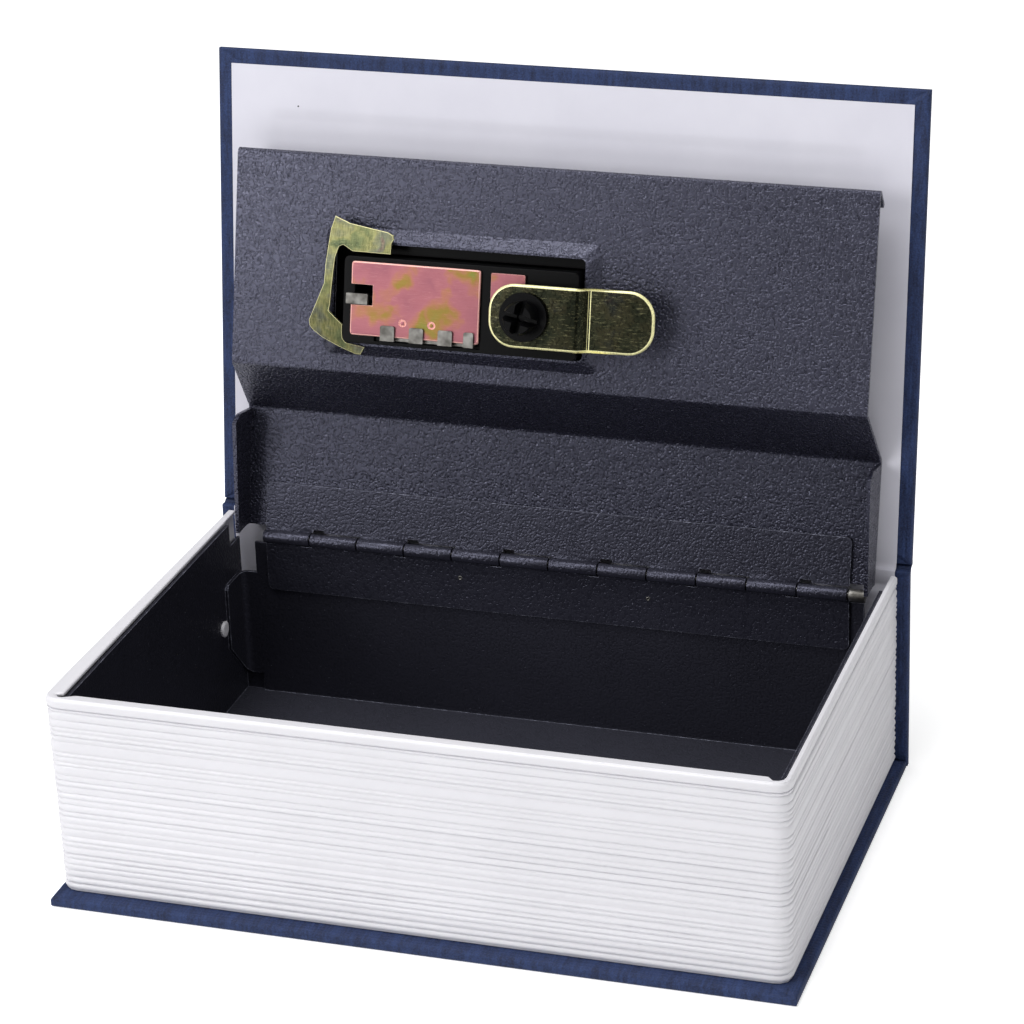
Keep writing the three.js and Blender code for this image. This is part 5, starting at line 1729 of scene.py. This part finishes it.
@dataclass
class NumberWheels:
    """The white numbers on the three wheels of the lock: one on each flat between two notches."""

    count: int = 10
    first_x: float = -37.9
    pitch: float = 7.45
    rise: float = 65.0
    depth: float = 13.2
    radius: float = 5.6
    notch: float = 0.4
    notch_share: float = 0.3
    flat_share: float = 0.2
    height: float = 2.1
    digit_share: float = 0.7
    proud: float = 0.03
    sunk: float = 0.12

    def build(self, shop: Workshop) -> None:
        """Builds one ring of numbers for each wheel.

        Args:
            shop: Signs the pieces off.
        """
        for wheel, body in enumerate((Body.DIAL_1, Body.DIAL_2, Body.DIAL_3)):
            ring = self.ring(f"dial_{wheel + 1}_numbers", self.first_x + wheel * self.pitch)
            shop.sign_off(ring, body, Slot.PAGE_PLASTIC)

    def ring(self, name: str, x: float) -> bpy.types.Object:
        """Lays the numbers round one wheel.

        Args:
            name: Name of the piece.
            x: Middle of the wheel in millimetres.

        Returns:
            The ring of numbers.
        """
        points: list[Vector] = []
        faces: list[list[int]] = []
        for number in range(self.count):
            shape = self.figure(number)
            first = len(points)
            for vertex in shape.verts:
                turn = (number + 0.5) / self.count * 2 * math.pi - vertex.co.y / self.radius
                reach = self.surface(turn) + (self.proud if vertex.co.z > 0 else -self.sunk)
                points.append(Vector(LID_FRAME.place(
                    x + vertex.co.x, self.rise + reach * math.sin(turn),
                    self.depth - reach * math.cos(turn))) * MM)
            faces += [[first + v.index for v in face.verts] for face in shape.faces]
            shape.free()
        return finish_mesh(mesh_object(name, points, faces), angle=30.0)

    def surface(self, turn: float) -> float:
        """Gives the wheel's radius at an angle, lower in the notches.

        Args:
            turn: Angle round the axle.

        Returns:
            The radius in millimetres.
        """
        share = (turn / (2 * math.pi) * self.count) % 1.0
        return self.radius - self.notch * max(0.0, 1 - min(share, 1 - share) / self.notch_share)

    def figure(self, number: int) -> bmesh.types.BMesh:
        """Makes one number as a flat figure, split where the wheel's flat ends.

        Args:
            number: The number.

        Returns:
            The figure in millimetres, with its front at a positive z.
        """
        curve = bpy.data.curves.new("number", "FONT")
        curve.body = str(number)
        curve.size = self.height / self.digit_share
        curve.align_x = "CENTER"
        curve.align_y = "CENTER"
        curve.extrude = 0.1
        curve.resolution_u = 3
        text = linked("number", curve)
        graph = bpy.context.evaluated_depsgraph_get()
        graph.update()
        shape = bmesh.new()
        mesh = bpy.data.meshes.new_from_object(text.evaluated_get(graph))
        shape.from_mesh(mesh)
        bpy.data.objects.remove(text)
        bpy.data.meshes.remove(mesh)
        bpy.data.curves.remove(curve)
        bmesh.ops.remove_doubles(shape, verts=shape.verts, dist=1e-4)
        edge = self.flat_share * 2 * math.pi * self.radius / self.count
        for level in (-edge, 0.0, edge):
            parts = [*shape.verts, *shape.edges, *shape.faces]
            bmesh.ops.bisect_plane(shape, geom=parts, plane_co=(0, level, 0), plane_no=(0, 1, 0))
        shape.verts.index_update()
        return shape


@dataclass
class PhotoCamera:
    """The camera of the photo: its focal length in pixels, its place and its angles."""

    pixels: float = 3654.9
    azimuth: float = 18.385
    elevation: float = 23.722
    roll: float = 2.054
    place: Point = (253.29, -738.53, 427.82)
    width: int = 1024

    def build(self) -> bpy.types.Object:
        """Makes the camera and gives it to the scene.

        Returns:
            The camera object.
        """
        az, el, roll = (math.radians(v) for v in (self.azimuth, self.elevation, self.roll))
        forward = Vector((-math.sin(az) * math.cos(el), math.cos(az) * math.cos(el), -math.sin(el)))
        right = Vector((math.cos(az), math.sin(az), 0.0))
        down = forward.cross(right)
        side = math.cos(roll) * right + math.sin(roll) * down
        below = -math.sin(roll) * right + math.cos(roll) * down
        data = bpy.data.cameras.new("photo_camera")
        data.sensor_width = 36.0
        data.lens = self.pixels * data.sensor_width / self.width
        data.clip_start = 0.01
        camera = linked("photo_camera", data)
        matrix = Matrix((side, -below, -forward)).transposed().to_4x4()
        matrix.translation = Vector(self.place) * MM
        camera.matrix_world = matrix
        bpy.context.scene.camera = camera
        return camera


@dataclass(frozen=True)
class Softbox:
    """A square area lamp: its place and side in metres, and its power in watts."""

    name: str
    place: Point
    side: float
    watts: float

    def build(self, target: Point) -> None:
        """Hangs the lamp and aims it.

        Args:
            target: The point in metres that it looks at.
        """
        data = bpy.data.lights.new(self.name, "AREA")
        data.size = self.side
        data.energy = self.watts
        lamp = linked(self.name, data)
        lamp.location = self.place
        aim = Vector(target) - Vector(self.place)
        lamp.rotation_euler = aim.to_track_quat("-Z", "Y").to_euler()


@dataclass
class Studio:
    """A white table under soft light, with lamps low enough that colours come out as written."""

    ambient: float = 0.2
    mirror: float = 0.12
    floor_size: float = 6.0
    floor_glow: float = 0.5
    target: Point = (0.0, 0.0, 0.05)
    lamps: tuple[Softbox, ...] = (
        Softbox("top_softbox", (-0.25, -0.2, 1.35), 1.0, 16.0),
        Softbox("front_softbox", (-0.56, -0.72, 0.42), 0.5, 4.3),
        Softbox("side_softbox", (0.95, -0.35, 0.55), 0.8, 2.8))

    def build(self) -> None:
        """Builds the floor, the lamps and the world."""
        self.floor()
        for lamp in self.lamps:
            lamp.build(self.target)
        self.world()

    def floor(self) -> None:
        """Builds the floor, which gives light where the camera sees it bare."""
        half = self.floor_size / 2
        floor = mesh_object("studio_floor", [(-half, -half, 0), (half, -half, 0), (half, half, 0),
                                             (-half, half, 0)], [(0, 1, 2, 3)])
        card = Coating("white_card")
        # The card glows a little towards the lens only, which lifts bare floor to white
        seen = card.add(Kind.LIGHT_PATH).outputs["Is Camera Ray"]
        card.feed(card.shader, {
            "Base Color": srgb("#fbfbfb"), "Roughness": 0.9, "Emission Color": WHITE,
            "Emission Strength": card.add(Kind.MULTIPLY, (seen, self.floor_glow))})
        floor.data.materials.append(card.material)

    def world(self) -> None:
        """Makes the surroundings: white to the camera, dim as a light, dimmer still in gloss."""
        world = bpy.data.worlds.new("studio")
        world.use_nodes = True
        bpy.context.scene.world = world
        sky = Tree(world.node_tree)
        rays = sky.add(Kind.LIGHT_PATH).outputs
        light = sky.add(Kind.MIX, {
            "Factor": rays["Is Glossy Ray"], NUMBER_A: self.ambient, NUMBER_B: self.mirror})
        seen = sky.add(Kind.MAXIMUM, (rays["Is Camera Ray"], rays["Is Transmission Ray"]))
        strength = sky.add(Kind.MIX, {"Factor": seen, NUMBER_A: light, NUMBER_B: 1.0})
        sky.feed(sky.tree.nodes["Background"], {"Color": WHITE, "Strength": strength})


def main() -> None:
    """Builds the safe sub-assembly by sub-assembly, then the studio."""
    logging.basicConfig(level=logging.INFO, format="%(message)s")
    shop = Workshop(finishes())
    for assembly in (BookCase(), PageBlock(), PianoHinge(), *COPIES, NumberWheels()):
        assembly.build(shop)
    PhotoCamera().build()
    Studio().build()
    bpy.context.scene.view_settings.view_transform = "Standard"


if __name__ == "__main__":
    main()
